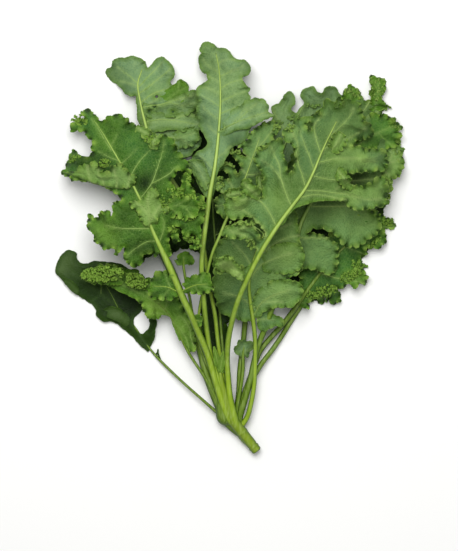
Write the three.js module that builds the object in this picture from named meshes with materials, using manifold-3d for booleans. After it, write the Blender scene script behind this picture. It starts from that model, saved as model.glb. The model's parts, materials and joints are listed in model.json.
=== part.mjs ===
// A kale bunch lying on its side: a short cut stalk with its leaves still on it.
// Millimetres, +Z up. The leaves are drawn flat on a layout sheet, x to the right and y
// towards the cut end, and then heaped over each other by the layer that each lies in.
import * as THREE from "three";
import { mergeVertices } from "three/addons/utils/BufferGeometryUtils.js";
import Module from "manifold-3d";

// Driving dimensions
const layoutCentre = [229.5, 249]; // layout point over the part's origin
const heapHeight = 84; // top of the heap at its middle
const rimHeight = 9; // top of the heap at its rim
const heapMiddle = [235, 215]; // layout point of the highest place
const heapHalfWidth = 195;
const heapReach = 185; // from the highest place to the leaf tips
const riseStart = 425; // layout y where the stems start to rise from the stalk
const riseLength = 200;
const settle = 3; // how far the heap sinks until its lowest leaves lie flat
const bladeThickness = 1.6;
const clearance = 0.3; // gap between pieces that touch
const stemSides = 8;
const rootBlend = 110; // length over which a stem leaves the stalk's height
const rootSpread = 10; // how far apart in height the top and lowest leaves root on the stalk
const rootFlare = 18; // length over which a stem's swollen base narrows
const rowSweep = 0.6; // how far a blade's rows lean towards its tip
const minRowStep = 0.9; // smallest step between two blade rows on the midrib
const bladeRows = [0, 0.5, 1]; // from the midrib to the margin

// The stalk from its cut end to its growing tip: layout x and y, how far it is lifted off the
// ground, and its radius
const stalkLine = [
  [257.2, 451.1, 0, 4.9],
  [250, 442, 0.4, 5.2],
  [242, 432, 1.4, 5.6],
  [234, 421, 2.8, 6.2],
  [228, 409, 5.0, 6.0],
  [224, 394, 8.2, 4.8],
  [221, 380, 11.0, 3.4],
  [220, 372, 12.8, 2.2],
];
const flatToAxis = Math.cos(Math.PI / stemSides); // a tube's flat side from its axis, by radius
const stalkAxis = stalkLine.map(([x, y, lift, radius]) => [x, y, lift + radius * flatToAxis, radius]);

// Each leaf: the face that looks up, the layer it lies in from 0 at the bottom to 1 at the
// top, its stem and midrib from the stalk to the tip, the stem's radius at its swollen base,
// where the blade starts and at the tip, the length of bare stem, and its two margins from
// base to tip, left and right as seen from the stalk.
const leaves = [
  {
    name: "leaf_front_right", face: "under", layer: 1.0, radii: [4.4, 3.1, 0.8], bare: 120,
    stem: [[234, 417], [230, 398], [228, 378], [227, 360], [228, 342], [231, 325], [237, 303], [248, 277],
      [262, 250], [278, 225], [292, 206], [304, 190], [313, 172], [320, 155], [328, 138], [336, 122]],
    left: [[243, 279], [230, 270], [216, 271], [222, 260], [232, 258], [243, 266], [250, 262], [240, 248],
      [224, 238], [223, 229], [233, 223], [246, 224], [236, 218], [226, 214], [227, 204], [236, 198],
      [250, 196], [258, 180], [254, 166], [258, 157], [264, 149], [274, 141], [284, 136], [291, 129],
      [300, 121], [312, 117], [322, 108], [328, 100]],
    right: [[262, 258], [280, 232], [297, 209], [312, 204], [330, 201], [345, 204], [360, 209], [374, 207],
      [384, 203], [388, 194], [385, 184], [378, 179], [364, 184], [350, 184], [352, 178], [370, 175],
      [384, 169], [386, 158], [378, 148], [368, 140], [370, 128], [362, 116], [354, 106], [341, 103]],
  },
  {
    name: "leaf_front_left", face: "upper", layer: 0.93, radii: [4.2, 3.3, 0.8], bare: 168,
    stem: [[226, 412], [219, 392], [213, 372], [207, 352], [199, 333], [191, 314], [183, 297], [175, 278],
      [168, 262], [160, 245], [152, 227], [147, 213], [141, 200], [133, 184], [122, 165], [112, 148],
      [103, 133]],
    left: [[160, 256], [150, 256], [138, 262], [131, 267], [122, 257], [106, 251], [95, 240], [88, 230],
      [87, 220], [93, 215], [101, 217], [103, 211], [111, 212], [114, 202], [122, 200], [118, 195],
      [101, 187], [80, 181], [62, 173], [69, 160], [74, 150], [82, 157], [91, 153], [93, 146],
      [86, 136], [71, 131], [75, 122], [83, 117], [82, 110], [91, 112]],
    right: [[172, 258], [172, 244], [176, 236], [186, 240], [196, 250], [203, 238], [207, 222], [205, 206],
      [200, 190], [191, 178], [188, 164], [187, 150], [177, 139], [163, 136], [151, 134], [141, 130],
      [133, 121], [120, 117], [109, 117], [100, 121]],
    leaflets: [
      { stem: [[183, 291], [168, 287], [154, 286]], left: [[172, 299], [160, 300], [150, 296]],
        right: [[172, 274], [162, 271], [152, 278]] },
      { stem: [[183, 291], [196, 285], [207, 284]], left: [[186, 279], [198, 274], [209, 273]],
        right: [[188, 293], [203, 294], [215, 289]] },
      { stem: [[193, 319], [199, 321]], left: [[195, 314], [202, 316]], right: [[194, 327], [200, 328]] },
    ],
  },
  {
    name: "leaf_centre", face: "under", layer: 0.82, radii: [3.6, 2.5, 0.7], bare: 208,
    stem: [[228, 407], [222, 390], [212, 360], [207, 330], [204, 300], [202, 270], [203, 250], [206, 225],
      [209, 203], [213, 178], [216, 150], [219, 125], [221, 104], [220, 80], [217, 60]],
    left: [[206, 194], [197, 180], [190, 166], [195, 152], [204, 145], [205, 137], [199, 128], [203, 119],
      [200, 108], [200, 92], [206, 82], [201, 68], [200, 51], [208, 44]],
    right: [[213, 196], [218, 174], [232, 151], [243, 138], [253, 127], [272, 114], [266, 105],
      [258, 99], [247, 98], [251, 90], [244, 81], [250, 72], [246, 61], [235, 56], [224, 51]],
  },
  {
    name: "leaf_inner_centre", face: "under", layer: 0.7, radii: [2.8, 1.9, 0.7], bare: 210,
    stem: [[225, 404], [219, 388], [210, 364], [203, 342], [199, 318], [202, 297], [208, 270], [213, 252],
      [219, 238], [226, 221], [234, 204], [243, 184], [252, 160], [259, 140]],
    left: [[221, 214], [217, 199], [214, 189], [219, 176], [227, 167], [231, 154], [240, 149], [244, 140],
      [252, 130], [258, 124]],
    right: [[240, 212], [256, 204], [268, 192], [278, 176], [283, 158], [282, 140], [274, 128], [266, 120]],
  },
  {
    name: "leaf_inner_right", face: "under", layer: 0.58, radii: [3.0, 2.3, 0.8], bare: 105,
    stem: [[241, 426], [247, 417], [251, 403], [254, 385], [255, 362], [255, 340], [253, 320], [250, 300],
      [249, 282], [253, 262], [261, 240], [270, 222], [279, 206]],
    left: [[246, 320], [234, 322], [222, 312], [213, 298], [212, 280], [213, 260], [217, 244], [229, 233],
      [243, 223], [258, 210], [270, 199]],
    right: [[257, 323], [263, 331], [281, 325], [283, 319], [272, 309], [286, 306], [299, 301],
      [302, 291], [296, 281], [300, 270], [303, 257], [300, 246], [299, 230], [296, 214], [288, 201]],
  },
  {
    name: "leaf_curly_left", face: "upper", layer: 0.5, radii: [2.6, 1.6, 0.7], bare: 66,
    stem: [[219, 404], [211, 388], [203, 374], [196, 364], [189, 353], [183, 342], [178, 331], [170, 316],
      [158, 303], [142, 294], [126, 286], [108, 279], [94, 276]],
    left: [[179, 338], [173, 326], [167, 314], [160, 318], [152, 320], [146, 312], [144, 304], [133, 297],
      [121, 290], [109, 286], [97, 284]],
    right: [[190, 348], [197, 340], [193, 322], [185, 306], [172, 290], [163, 276], [150, 279], [142, 275], [134, 270],
      [123, 271], [112, 264], [98, 267], [84, 273]],
  },
  {
    name: "leaf_back_left", face: "under", layer: 0.42, radii: [3.2, 2.3, 0.8], bare: 270,
    stem: [[225, 396], [222, 370], [218, 342], [215, 315], [210, 288], [206, 262], [201, 236], [186, 203],
      [166, 170], [151, 142], [145, 118], [142, 100], [143, 82], [142, 70]],
    left: [[146, 146], [140, 126], [139, 110], [140, 98], [131, 97], [119, 89], [107, 77], [111, 65],
      [119, 57], [131, 58]],
    right: [[168, 164], [186, 158], [198, 146], [200, 130], [197, 116], [199, 94], [189, 90], [181, 80],
      [174, 86], [170, 82], [175, 74], [171, 65], [163, 56], [155, 65], [147, 68], [143, 60]],
  },
  {
    name: "leaf_back_right", face: "under", layer: 0.43, radii: [3.4, 2.4, 0.8], bare: 165,
    stem: [[240, 414], [245, 398], [250, 380], [254, 362], [258, 346], [264, 330], [272, 308], [280, 285],
      [288, 262], [296, 240], [300, 225], [307, 210], [318, 190], [330, 168], [342, 145], [352, 122],
      [358, 106]],
    left: [[284, 262], [276, 240], [276, 212], [282, 186], [290, 160], [300, 134], [315, 113], [330, 104],
      [343, 94], [350, 84]],
    right: [[303, 266], [320, 273], [334, 271], [338, 260], [338, 250], [352, 247], [367, 243], [378, 234],
      [381, 222], [381, 210], [388, 203], [393, 187], [391, 180], [400, 176], [405, 163], [401, 155],
      [404, 149], [397, 142], [397, 131], [402, 127], [395, 114], [382, 112], [388, 105], [380, 98],
      [387, 85], [379, 79], [370, 76], [371, 92], [366, 100]],
  },
  {
    name: "leaf_back_top", face: "under", layer: 0.3, radii: [3.0, 2.2, 0.8], bare: 215,
    stem: [[237, 409], [239, 392], [240, 370], [243, 345], [245, 322], [248, 290], [254, 250], [262, 212],
      [274, 172], [286, 142], [297, 118], [303, 106]],
    left: [[256, 192], [254, 164], [262, 140], [268, 124], [272, 108], [282, 99], [286, 92], [295, 99],
      [293, 110], [300, 110], [300, 96]],
    right: [[282, 192], [300, 170], [318, 148], [336, 130], [348, 112], [342, 96], [336, 88], [325, 87], [319, 93],
      [312, 87], [304, 89]],
  },
  {
    name: "leaf_low_right", face: "upper", layer: 0.21, radii: [3.4, 2.6, 0.8], bare: 122,
    stem: [[239, 411], [243, 398], [248, 383], [254, 366], [260, 351], [271, 337], [282, 325], [292, 312],
      [300, 301], [309, 288], [321, 272], [334, 257], [349, 243], [364, 233], [378, 228]],
    left: [[299, 290], [299, 274], [306, 258], [320, 242], [338, 227], [355, 215], [372, 209], [382, 212],
      [391, 219]],
    right: [[304, 310], [311, 307], [317, 299], [328, 305], [341, 302], [343, 288], [356, 288], [366, 283],
      [369, 268], [359, 261], [368, 250], [384, 243], [388, 234], [396, 225]],
  },
  {
    name: "leaf_under_left", face: "upper", layer: 0.15, radii: [5.2, 2.5, 0.8], bare: 165,
    stem: [[224, 416], [215, 396], [204, 372], [196, 346], [190, 324], [184, 303], [176, 282], [167, 262],
      [157, 243], [146, 222], [131, 200], [114, 182], [98, 169]],
    left: [[156, 255], [149, 254], [141, 262], [130, 258], [125, 240], [124, 214], [119, 196], [104, 185], [86, 178],
      [72, 170]],
    right: [[176, 252], [184, 236], [186, 214], [176, 192], [156, 172], [130, 158], [106, 154], [90, 157],
      [76, 156]],
  },
  {
    name: "leaf_under_centre", face: "under", layer: 0.1, radii: [2.6, 1.8, 0.7], bare: 92,
    stem: [[226, 402], [225, 378], [223, 354], [221, 330], [219, 300], [217, 270], [215, 240], [214, 210],
      [217, 180], [222, 156]],
    left: [[213, 314], [207, 298], [203, 280], [203, 256], [190, 249], [175, 247], [173, 236], [184, 218],
      [193, 194], [202, 170], [212, 150]],
    right: [[226, 318], [236, 300], [246, 276], [256, 248], [262, 216], [260, 186], [250, 162], [236, 146]],
  },
  {
    name: "leaf_under_right", face: "under", layer: 0.04, radii: [3.2, 2.5, 0.8], bare: 130,
    stem: [[238, 413], [244, 396], [253, 378], [262, 363], [272, 350], [281, 337], [291, 321], [302, 304],
      [312, 286], [325, 262], [340, 235], [354, 206], [364, 182]],
    left: [[294, 288], [286, 266], [284, 240], [291, 215], [304, 190], [320, 167], [340, 150], [360, 146]],
    right: [[312, 302], [324, 294], [340, 284], [354, 270], [366, 252], [377, 232], [384, 210], [386, 188],
      [380, 164]],
  },
  {
    name: "leaf_low_left", face: "upper", layer: 0.02, radii: [2.2, 1.8, 0.8], bare: 88,
    stem: [[220, 415], [203, 400], [186, 385], [170, 370], [157, 357], [147, 345], [134, 326], [118, 308],
      [101, 294], [84, 281], [70, 269]],
    left: [[149, 351], [135, 339], [126, 331], [112, 322], [103, 321], [96, 315], [95, 309], [80, 296],
      [69, 292], [61, 278]],
    right: [[150, 343], [155, 331], [156, 320], [151, 319], [143, 335], [134, 324], [138, 313], [147, 304],
      [150, 296], [140, 280], [127, 268], [112, 262], [96, 261], [84, 264], [77, 253], [69, 250], [61, 256],
      [54, 270]],
  },
  {
    name: "leaf_young_left", face: "upper", layer: 0.6, radii: [1.6, 1.3, 0.6], bare: 128,
    stem: [[220, 388], [209, 369], [200, 346], [194, 322], [190, 298], [186, 280], [184, 266], [184, 257]],
    left: [[177, 264], [175, 259], [179, 254]],
    right: [[192, 264], [197, 262], [190, 253]],
  },
  {
    name: "leaf_small_pale", face: "under", layer: 0.66, radii: [1.6, 1.3, 0.6], bare: 44,
    stem: [[238, 400], [241, 384], [243, 368], [243, 354], [244, 346]],
    left: [[238, 355], [235, 347], [239, 342]],
    right: [[246, 355], [250, 350], [249, 342]],
  },
];

// The youngest leaves stand round the growing tip: where each points, how long it is and
// how far its tip stands above the tip of the stalk.
const heartBase = [220, 373, 14.6];
const heartWidth = 7;
const heartLeaves = [
  { name: "heart_leaf_1", reach: [-6, -27], rise: 12 },
  { name: "heart_leaf_2", reach: [3, -22], rise: 15 },
  { name: "heart_leaf_3", reach: [-3, -19], rise: 3 },
  { name: "heart_leaf_4", reach: [6, -14], rise: 6 },
];

const colours = {
  stalk: [0x8fa63c, 0.55],
  upper: [0x4f7a2c, 0.6],
  under: [0x7f9e6c, 0.7],
  heart: [0x9ab53e, 0.6],
};

const wasm = await Module();
wasm.setup();

const smooth = (t) => {
  const c = Math.min(1, Math.max(0, t));
  return c * c * (3 - 2 * c);
};

// Height of the heap's upper face over a layout point
function heapTop(x, y) {
  const across = (x - heapMiddle[0]) / heapHalfWidth;
  const along = Math.max(0, heapMiddle[1] - y) / heapReach;
  const crown = Math.max(0, 1 - across * across - along * along);
  const rise = smooth((riseStart - y) / riseLength);
  return rimHeight + (heapHeight - rimHeight) * crown * rise;
}

// Height of a leaf's middle surface: its share of the heap, and never through the ground
function bladeHeight(layer, x, y, halfThickness) {
  return Math.max(halfThickness, layer * heapTop(x, y) - settle);
}

// Lengths along a layout line, and the point at a length
function lengthsAlong(line) {
  const lengths = [0];
  for (let i = 1; i < line.length; i += 1) {
    const step = Math.hypot(line[i][0] - line[i - 1][0], line[i][1] - line[i - 1][1]);
    lengths.push(lengths[i - 1] + step);
  }
  return lengths;
}

function pointAlong(line, lengths, at) {
  let i = 1;
  while (i < line.length - 1 && lengths[i] < at) i += 1;
  const t = (at - lengths[i - 1]) / (lengths[i] - lengths[i - 1]);
  return line[i].map((value, k) => line[i - 1][k] + (value - line[i - 1][k]) * t);
}

// Stem points in space: the stalk's height at the root, the leaf's own further out
function stemPath(leaf, extra) {
  const lengths = lengthsAlong(leaf.stem);
  const total = lengths.at(-1);
  const [atRoot, atBlade, atTip] = leaf.radii;
  return leaf.stem.map(([x, y], i) => {
    const bladeShare = Math.max(0, (lengths[i] - leaf.bare) / (total - leaf.bare));
    const taper = THREE.MathUtils.lerp(atBlade, atTip, bladeShare);
    const radius = taper + (atRoot - atBlade) * Math.exp(-lengths[i] / rootFlare);
    return [x, y, stemHeight(leaf, x, y, lengths[i], radius), radius + extra];
  });
}

function stemHeight(leaf, x, y, along, radius) {
  const root = stalkHeight(y) + (leaf.layer - 0.5) * rootSpread;
  return THREE.MathUtils.lerp(root, bladeHeight(leaf.layer, x, y, radius), smooth(along / rootBlend));
}

function stalkHeight(y) {
  let i = 1;
  while (i < stalkAxis.length - 1 && stalkAxis[i][1] > y) i += 1;
  const [from, to] = [stalkAxis[i - 1], stalkAxis[i]];
  const t = Math.min(1, Math.max(0, (y - from[1]) / (to[1] - from[1])));
  return THREE.MathUtils.lerp(from[2], to[2], t);
}

// A closed mesh from rings of points that all have the same count, with flat ends
function loft(rings) {
  const count = rings[0].length;
  const positions = rings.flat(2);
  const faces = [];
  for (let r = 0; r + 1 < rings.length; r += 1) {
    for (let k = 0; k < count; k += 1) {
      const next = (k + 1) % count;
      const [a, b] = [r * count + k, r * count + next];
      faces.push(a, b, b + count, a, b + count, a + count);
    }
  }
  const last = (rings.length - 1) * count;
  for (let k = 1; k + 1 < count; k += 1) {
    faces.push(0, k + 1, k, last, last + k, last + k + 1);
  }
  return solid(positions, faces);
}

function solid(positions, faces) {
  const body = new wasm.Manifold(new wasm.Mesh({
    numProp: 3,
    vertProperties: new Float32Array(positions),
    triVerts: new Uint32Array(faces),
  }));
  return body.volume() < 0 ? flipped(positions, faces) : body;
}

function flipped(positions, faces) {
  const turned = [];
  for (let i = 0; i < faces.length; i += 3) turned.push(faces[i], faces[i + 2], faces[i + 1]);
  return solid(positions, turned);
}

// A round tube with a tapering radius along points [x, y, z, radius] of the layout
function tube(path) {
  const points = path.map(([x, y, z]) => new THREE.Vector3(x, y, z));
  const up = new THREE.Vector3(0, 0, 1);
  const rings = points.map((point, i) => {
    const from = points[Math.max(0, i - 1)];
    const to = points[Math.min(points.length - 1, i + 1)];
    const ahead = new THREE.Vector3().subVectors(to, from).normalize();
    const side = new THREE.Vector3().crossVectors(ahead, up).normalize();
    const over = new THREE.Vector3().crossVectors(side, ahead);
    return Array.from({ length: stemSides }, (_, k) => {
      const angle = ((k + 0.5) / stemSides) * Math.PI * 2;
      return point.clone()
        .addScaledVector(side, Math.cos(angle) * path[i][3])
        .addScaledVector(over, Math.sin(angle) * path[i][3])
        .toArray();
    });
  });
  return loft(rings);
}

// Where each margin point's row leaves the midrib: swept back from its nearest point, in order
function rowStarts(stem, margin, bare) {
  const lengths = lengthsAlong(stem);
  const total = lengths.at(-1);
  const starts = margin.map(([x, y]) => {
    let [best, away] = [0, Infinity];
    for (let at = bare; at <= total; at += 1) {
      const [sx, sy] = pointAlong(stem, lengths, at);
      const distance = Math.hypot(x - sx, y - sy);
      if (distance < away) [best, away] = [at, distance];
    }
    return best - rowSweep * away;
  });
  let floor = bare;
  for (let i = 0; i < starts.length; i += 1) {
    starts[i] = Math.max(starts[i], floor);
    floor = starts[i] + minRowStep;
  }
  let ceiling = total;
  for (let i = starts.length - 1; i >= 0; i -= 1) {
    starts[i] = Math.min(starts[i], ceiling);
    ceiling = starts[i] - minRowStep;
  }
  return starts.map((at) => pointAlong(stem, lengths, at));
}

// One half of a blade, from just past the midrib's axis to the margin
function halfBlade(leaf, stem, margin, bare, extra) {
  const half = bladeThickness / 2 + extra;
  const overlap = 0.5; // how far a half reaches past the axis
  const roots = rowStarts(stem, margin, bare);
  const rings = margin.map(([mx, my], i) => {
    const [rx, ry] = roots[i];
    const reach = Math.hypot(mx - rx, my - ry);
    const line = bladeRows.map((share) => {
      const t = share === 0 ? -overlap / reach : share + (share === 1 ? extra / reach : 0);
      const [x, y] = [rx + (mx - rx) * t, ry + (my - ry) * t];
      return [x, y, bladeHeight(leaf.layer, x, y, bladeThickness / 2)];
    });
    const over = line.map(([x, y, z]) => [x, y, z + half]);
    const below = line.map(([x, y, z]) => [x, y, z - half]).reverse();
    return [...over, ...below];
  });
  return loft(rings);
}

// A whole leaf: stem, both halves of its blade and any leaflets, in one body
function leafBody(leaf, extra = 0) {
  let body = tube(stemPath(leaf, extra));
  for (const margin of [leaf.left, leaf.right]) {
    body = body.add(halfBlade(leaf, leaf.stem, margin, leaf.bare, extra));
  }
  for (const leaflet of leaf.leaflets ?? []) {
    const rib = leaflet.stem.map(([x, y]) => [x, y, bladeHeight(leaf.layer, x, y, 1), 1 + extra]);
    body = body.add(tube(rib));
    for (const margin of [leaflet.left, leaflet.right]) {
      body = body.add(halfBlade(leaf, leaflet.stem, margin, 0, extra));
    }
  }
  return body;
}

// A heart leaf is a small pointed blade, widest at two thirds of its length
function heartBody({ reach, rise }, extra = 0) {
  const shares = [0, 0.35, 0.65, 0.9, 1];
  const widths = [0.3, 0.6, 1, 0.6, 0.15];
  const [bx, by, bz] = heartBase;
  const length = Math.hypot(...reach);
  const side = [-reach[1] / length, reach[0] / length];
  const half = bladeThickness / 2 + extra;
  const rings = shares.map((share, i) => {
    const [x, y] = [bx + reach[0] * share, by + reach[1] * share];
    const z = bz + rise * share;
    const wide = (heartWidth / 2) * widths[i] + extra;
    const corner = (across, up) => [x + side[0] * across, y + side[1] * across, z + up];
    return [corner(-wide, half), corner(wide, half), corner(wide, -half), corner(-wide, -half)];
  });
  return loft(rings);
}

// Takes the room of the pieces already placed out of a new one, and keeps its main body
function clearOf(body, placed) {
  let cut = body;
  for (const other of placed) cut = cut.subtract(other);
  const pieces = cut.decompose();
  return pieces.reduce((main, piece) => (piece.volume() > main.volume() ? piece : main));
}

// A body on the layout becomes a named mesh in the part's own frame, where +Y runs from the
// cut end to the leaf tips. That turns y over, so each face is turned over as well.
function meshOf(name, body, [colour, roughness]) {
  const { vertProperties, triVerts } = body.getMesh();
  for (let i = 0; i < vertProperties.length; i += 3) {
    vertProperties[i] -= layoutCentre[0];
    vertProperties[i + 1] = layoutCentre[1] - vertProperties[i + 1];
  }
  for (let i = 0; i < triVerts.length; i += 3) {
    [triVerts[i + 1], triVerts[i + 2]] = [triVerts[i + 2], triVerts[i + 1]];
  }
  const geometry = new THREE.BufferGeometry();
  geometry.setAttribute("position", new THREE.BufferAttribute(vertProperties, 3));
  geometry.setIndex(new THREE.BufferAttribute(triVerts, 1));
  const merged = mergeVertices(geometry, 1e-4);
  const material = new THREE.MeshStandardMaterial({ color: colour, roughness, metalness: 0 });
  const mesh = new THREE.Mesh(merged, material);
  mesh.name = name;
  return mesh;
}

const group = new THREE.Group();
const placed = [];

function place(name, body, grown, finish) {
  group.add(meshOf(name, clearOf(body, placed), finish));
  placed.push(grown);
}

const grownStalk = stalkAxis.map(([x, y, z, radius]) => [x, y, z, radius + clearance]);
place("stalk", tube(stalkAxis), tube(grownStalk), colours.stalk);
for (const leaf of leaves) {
  place(leaf.name, leafBody(leaf), leafBody(leaf, clearance), colours[leaf.face]);
}
for (const heart of heartLeaves) {
  place(heart.name, heartBody(heart), heartBody(heart, clearance), colours.heart);
}

export default group;
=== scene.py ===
import json
import math

import bpy
import numpy as np
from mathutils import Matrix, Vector, kdtree
from mathutils.geometry import delaunay_2d_cdt

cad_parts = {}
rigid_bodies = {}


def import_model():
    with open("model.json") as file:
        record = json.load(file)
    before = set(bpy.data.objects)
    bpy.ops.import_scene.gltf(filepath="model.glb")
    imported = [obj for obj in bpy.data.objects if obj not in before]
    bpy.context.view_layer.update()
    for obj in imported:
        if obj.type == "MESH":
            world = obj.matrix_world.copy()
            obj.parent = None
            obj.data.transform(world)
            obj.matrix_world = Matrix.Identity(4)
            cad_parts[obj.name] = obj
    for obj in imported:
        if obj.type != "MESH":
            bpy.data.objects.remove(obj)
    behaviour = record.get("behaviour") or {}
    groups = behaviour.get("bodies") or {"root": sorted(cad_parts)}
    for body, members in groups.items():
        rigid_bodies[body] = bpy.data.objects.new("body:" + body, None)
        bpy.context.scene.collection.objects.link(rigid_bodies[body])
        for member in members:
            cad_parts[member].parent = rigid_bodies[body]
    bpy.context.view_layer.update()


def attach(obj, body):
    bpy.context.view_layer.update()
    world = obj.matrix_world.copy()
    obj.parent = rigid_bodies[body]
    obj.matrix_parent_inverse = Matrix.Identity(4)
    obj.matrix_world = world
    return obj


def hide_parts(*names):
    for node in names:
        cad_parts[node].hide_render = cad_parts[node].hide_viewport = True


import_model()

mmPerMetre = 1000
batch = 2000                    # points handled at once where each is held against a whole margin

# A kale bunch lying on its side: a short cut stalk with its leaves still on it, fanned out
# and heaped over each other. Leaves are drawn on a flat layout sheet in millimetres, x to
# the right and y towards the cut end, and each is lifted to the layer that it lies in.
layout = dict(centre=(229.5, 249))

heap = dict(
    height=80, rim=9,                   # top of the heap at its middle and at its edge
    middle=(235, 215), halfWidth=195, reach=185,
    riseStart=425, riseLength=200,      # where the stems leave the ground
    settle=3,                           # every layer sinks this far under its share of the top
    lowest=0.5, lowSoftness=1.6,        # sheets ease off over the ground and under the very top
    highest=83.7, highSoftness=1.2,
)


def toMetres(points):
    # layout x, y, height in millimetres to the frame's metres
    placed = np.array(points, float)
    placed[..., 0] -= layout["centre"][0]
    placed[..., 1] = layout["centre"][1] - placed[..., 1]
    return placed / mmPerMetre


def smoothStep(t):
    t = np.clip(t, 0, 1)
    return t * t * (3 - 2 * t)


def heapTop(x, y):
    across = (x - heap["middle"][0]) / heap["halfWidth"]
    along = np.maximum(0, heap["middle"][1] - y) / heap["reach"]
    crown = np.maximum(0, 1 - across ** 2 - along ** 2)
    rise = smoothStep((heap["riseStart"] - y) / heap["riseLength"])
    return heap["rim"] + (heap["height"] - heap["rim"]) * crown * rise


def layerHeight(layer, x, y, low):
    return np.maximum(low, layer * heapTop(x, y) - heap["settle"])


def withinHeap(z):
    # heights kept off the ground and under the top of the heap, without a crease
    z = heap["lowest"] + heap["lowSoftness"] * np.logaddexp(0, (z - heap["lowest"]) / heap["lowSoftness"])
    room = (heap["highest"] - z) / heap["highSoftness"]
    return heap["highest"] - heap["highSoftness"] * np.logaddexp(0, room)


def smoothLine(points, spacing, columns, easing=0.7, steps=16):
    # a smooth curve through given points in even steps, and the length along it; a point
    # may leave out its last columns, which are then zero
    full = np.array([list(p) + [0] * (columns - len(p)) for p in points], float)
    step = np.maximum(np.hypot(*np.diff(full[:, :2], axis=0).T), 1e-3)
    knots = np.concatenate([[0], np.cumsum(step ** easing)])
    gap = np.diff(knots)[:, None]
    slope = np.diff(full, axis=0) / gap
    tangent = np.empty_like(full)
    tangent[1:-1] = (slope[:-1] * gap[1:] + slope[1:] * gap[:-1]) / (gap[1:] + gap[:-1])
    tangent[0], tangent[-1] = slope[0], slope[-1]
    t = np.linspace(0, 1, steps, endpoint=False)[None, :, None]
    a, b = full[:-1, None], full[1:, None]
    ta, tb = (tangent[:-1] * gap)[:, None], (tangent[1:] * gap)[:, None]
    fine = a + t * ta + t ** 2 * (3 * (b - a) - 2 * ta - tb) + t ** 3 * (2 * (a - b) + ta + tb)
    fine = np.vstack([fine.reshape(-1, columns), full[-1:]])
    length = np.concatenate([[0], np.cumsum(np.hypot(*np.diff(fine[:, :2], axis=0).T))])
    at = np.linspace(0, length[-1], max(2, int(round(length[-1] / spacing))) + 1)
    return np.stack([np.interp(at, length, fine[:, k]) for k in range(columns)], 1), at


def blur(values, width):
    # a running average along the first axis, its ends held
    width = max(1, int(width))
    kernel = np.hanning(2 * width + 3)[1:-1]
    kernel /= kernel.sum()
    padded = np.concatenate([np.repeat(values[:1], width, 0), values, np.repeat(values[-1:], width, 0)])
    return np.apply_along_axis(lambda v: np.convolve(v, kernel, "valid"), 0, padded)


def wander(at, scale, rng, softness=0.4):
    # smooth random values along a length, about -1 to 1
    knots = rng.uniform(-1, 1, int(at[-1] / scale) + 4)
    rough = np.interp(at / scale, np.arange(len(knots)), knots)
    return blur(rough, scale * softness / max(1e-6, at[1] - at[0]))


def searchTree(flat):
    # finds the points of a layout that are nearest to a place on it
    tree = kdtree.KDTree(len(flat))
    for k, (x, y) in enumerate(flat):
        tree.insert((x, y, 0), k)
    tree.balance()
    return tree


# layout x and y of the stalk, how far it is lifted off the ground, and its radius
stalkLine = [
    (257.2, 451.1, 0, 4.9), (250, 442, 0.4, 5.2), (242, 432, 1.4, 5.6), (234, 421, 2.8, 6.2),
    (228, 409, 5.0, 6.0), (224, 394, 8.2, 4.8), (221, 380, 11.0, 3.4), (220, 372, 12.8, 2.2),
]
flatToAxis = math.cos(math.pi / 8)      # a round stem of eight sides, resting on a flat

stems = dict(
    rootBlend=110, rootSpread=7,        # over what length a stem rises from the stalk to its layer
    rootFlare=18,                       # length of the thicker foot of a stem
    rootReach=27, rootTip=0.4,          # how far that foot runs down inside the stalk, and narrows
    rootSteps=12, rootBend=0.5,
    overlap=2,                          # how far below its blade a midrib is already part of it
)


def stalkHeight(y):
    line = np.array([(-y, lift + radius * flatToAxis) for _, y, lift, radius in stalkLine])
    return np.interp(-y, line[:, 0], line[:, 1])


def stemLine(leaf, spacing=2.0):
    # centre line of a leaf's stem and midrib: x, y, z, radius, and the length along it
    line, along = smoothLine(leaf["stem"], spacing, 2)
    x, y = line.T
    rootRadius, bladeRadius, tipRadius = leaf["radii"]
    share = np.clip((along - leaf["bare"]) / (along[-1] - leaf["bare"]), 0, 1)
    radius = bladeRadius + (tipRadius - bladeRadius) * share ** leaf["taper"]
    radius += (rootRadius - bladeRadius) * np.exp(-along / stems["rootFlare"])
    root = stalkHeight(y) + (leaf["layer"] - 0.5) * stems["rootSpread"]
    own = layerHeight(leaf["layer"], x, y, radius)
    z = root + (own - root) * smoothStep(along / stems["rootBlend"])
    return np.stack([x, y, z, radius], 1), along


def rootLine(line):
    # the foot of a leaf's stem, which bends down into the stalk and narrows inside it
    x, y, z, radius = line[0]
    axis, _ = smoothLine([(sx, sy, lift + sr * flatToAxis) for sx, sy, lift, sr in stalkLine], 1.0, 3)
    foot = int(np.abs(axis[:, 1] - y - stems["rootReach"]).argmin())
    share = np.linspace(0, 1, stems["rootSteps"], endpoint=False)[:, None]
    start, way = axis[foot], np.array([x, y, z])
    ahead = (line[2, :3] - line[0, :3]) / max(1e-6, np.linalg.norm(line[2, :3] - line[0, :3]))
    bend = way - ahead * stems["rootReach"] * stems["rootBend"]
    path = (1 - share) ** 2 * start + 2 * share * (1 - share) * bend + share ** 2 * way
    narrow = stems["rootTip"] + (1 - stems["rootTip"]) * smoothStep(share[:, 0])
    return np.column_stack([path, radius * narrow])


# each ruffle swings the margin up and down, sideways along itself and in and out of the
# blade, by shares of its wavelength, and dies away over its depth; all lengths in mm. Its rises
# are painted lighter and its dips darker, painted light and shade by its weight, and the finest makes teeth
ruffles = [
    dict(wave=30, heave=0.14, sway=0.03, swing=0.03, depth=20, paintedShadingWeight=0, teeth=False),
    dict(wave=9.0, heave=0.28, sway=0.08, swing=0.10, depth=8, paintedShadingWeight=0.4, teeth=False),
    dict(wave=4.0, heave=0.46, sway=0.05, swing=0.09, depth=3.4, paintedShadingWeight=1.4, teeth=False),
    dict(wave=1.7, heave=0.36, sway=-0.04, swing=0.40, depth=1.1, paintedShadingWeight=2.0, teeth=True),
]

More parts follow.
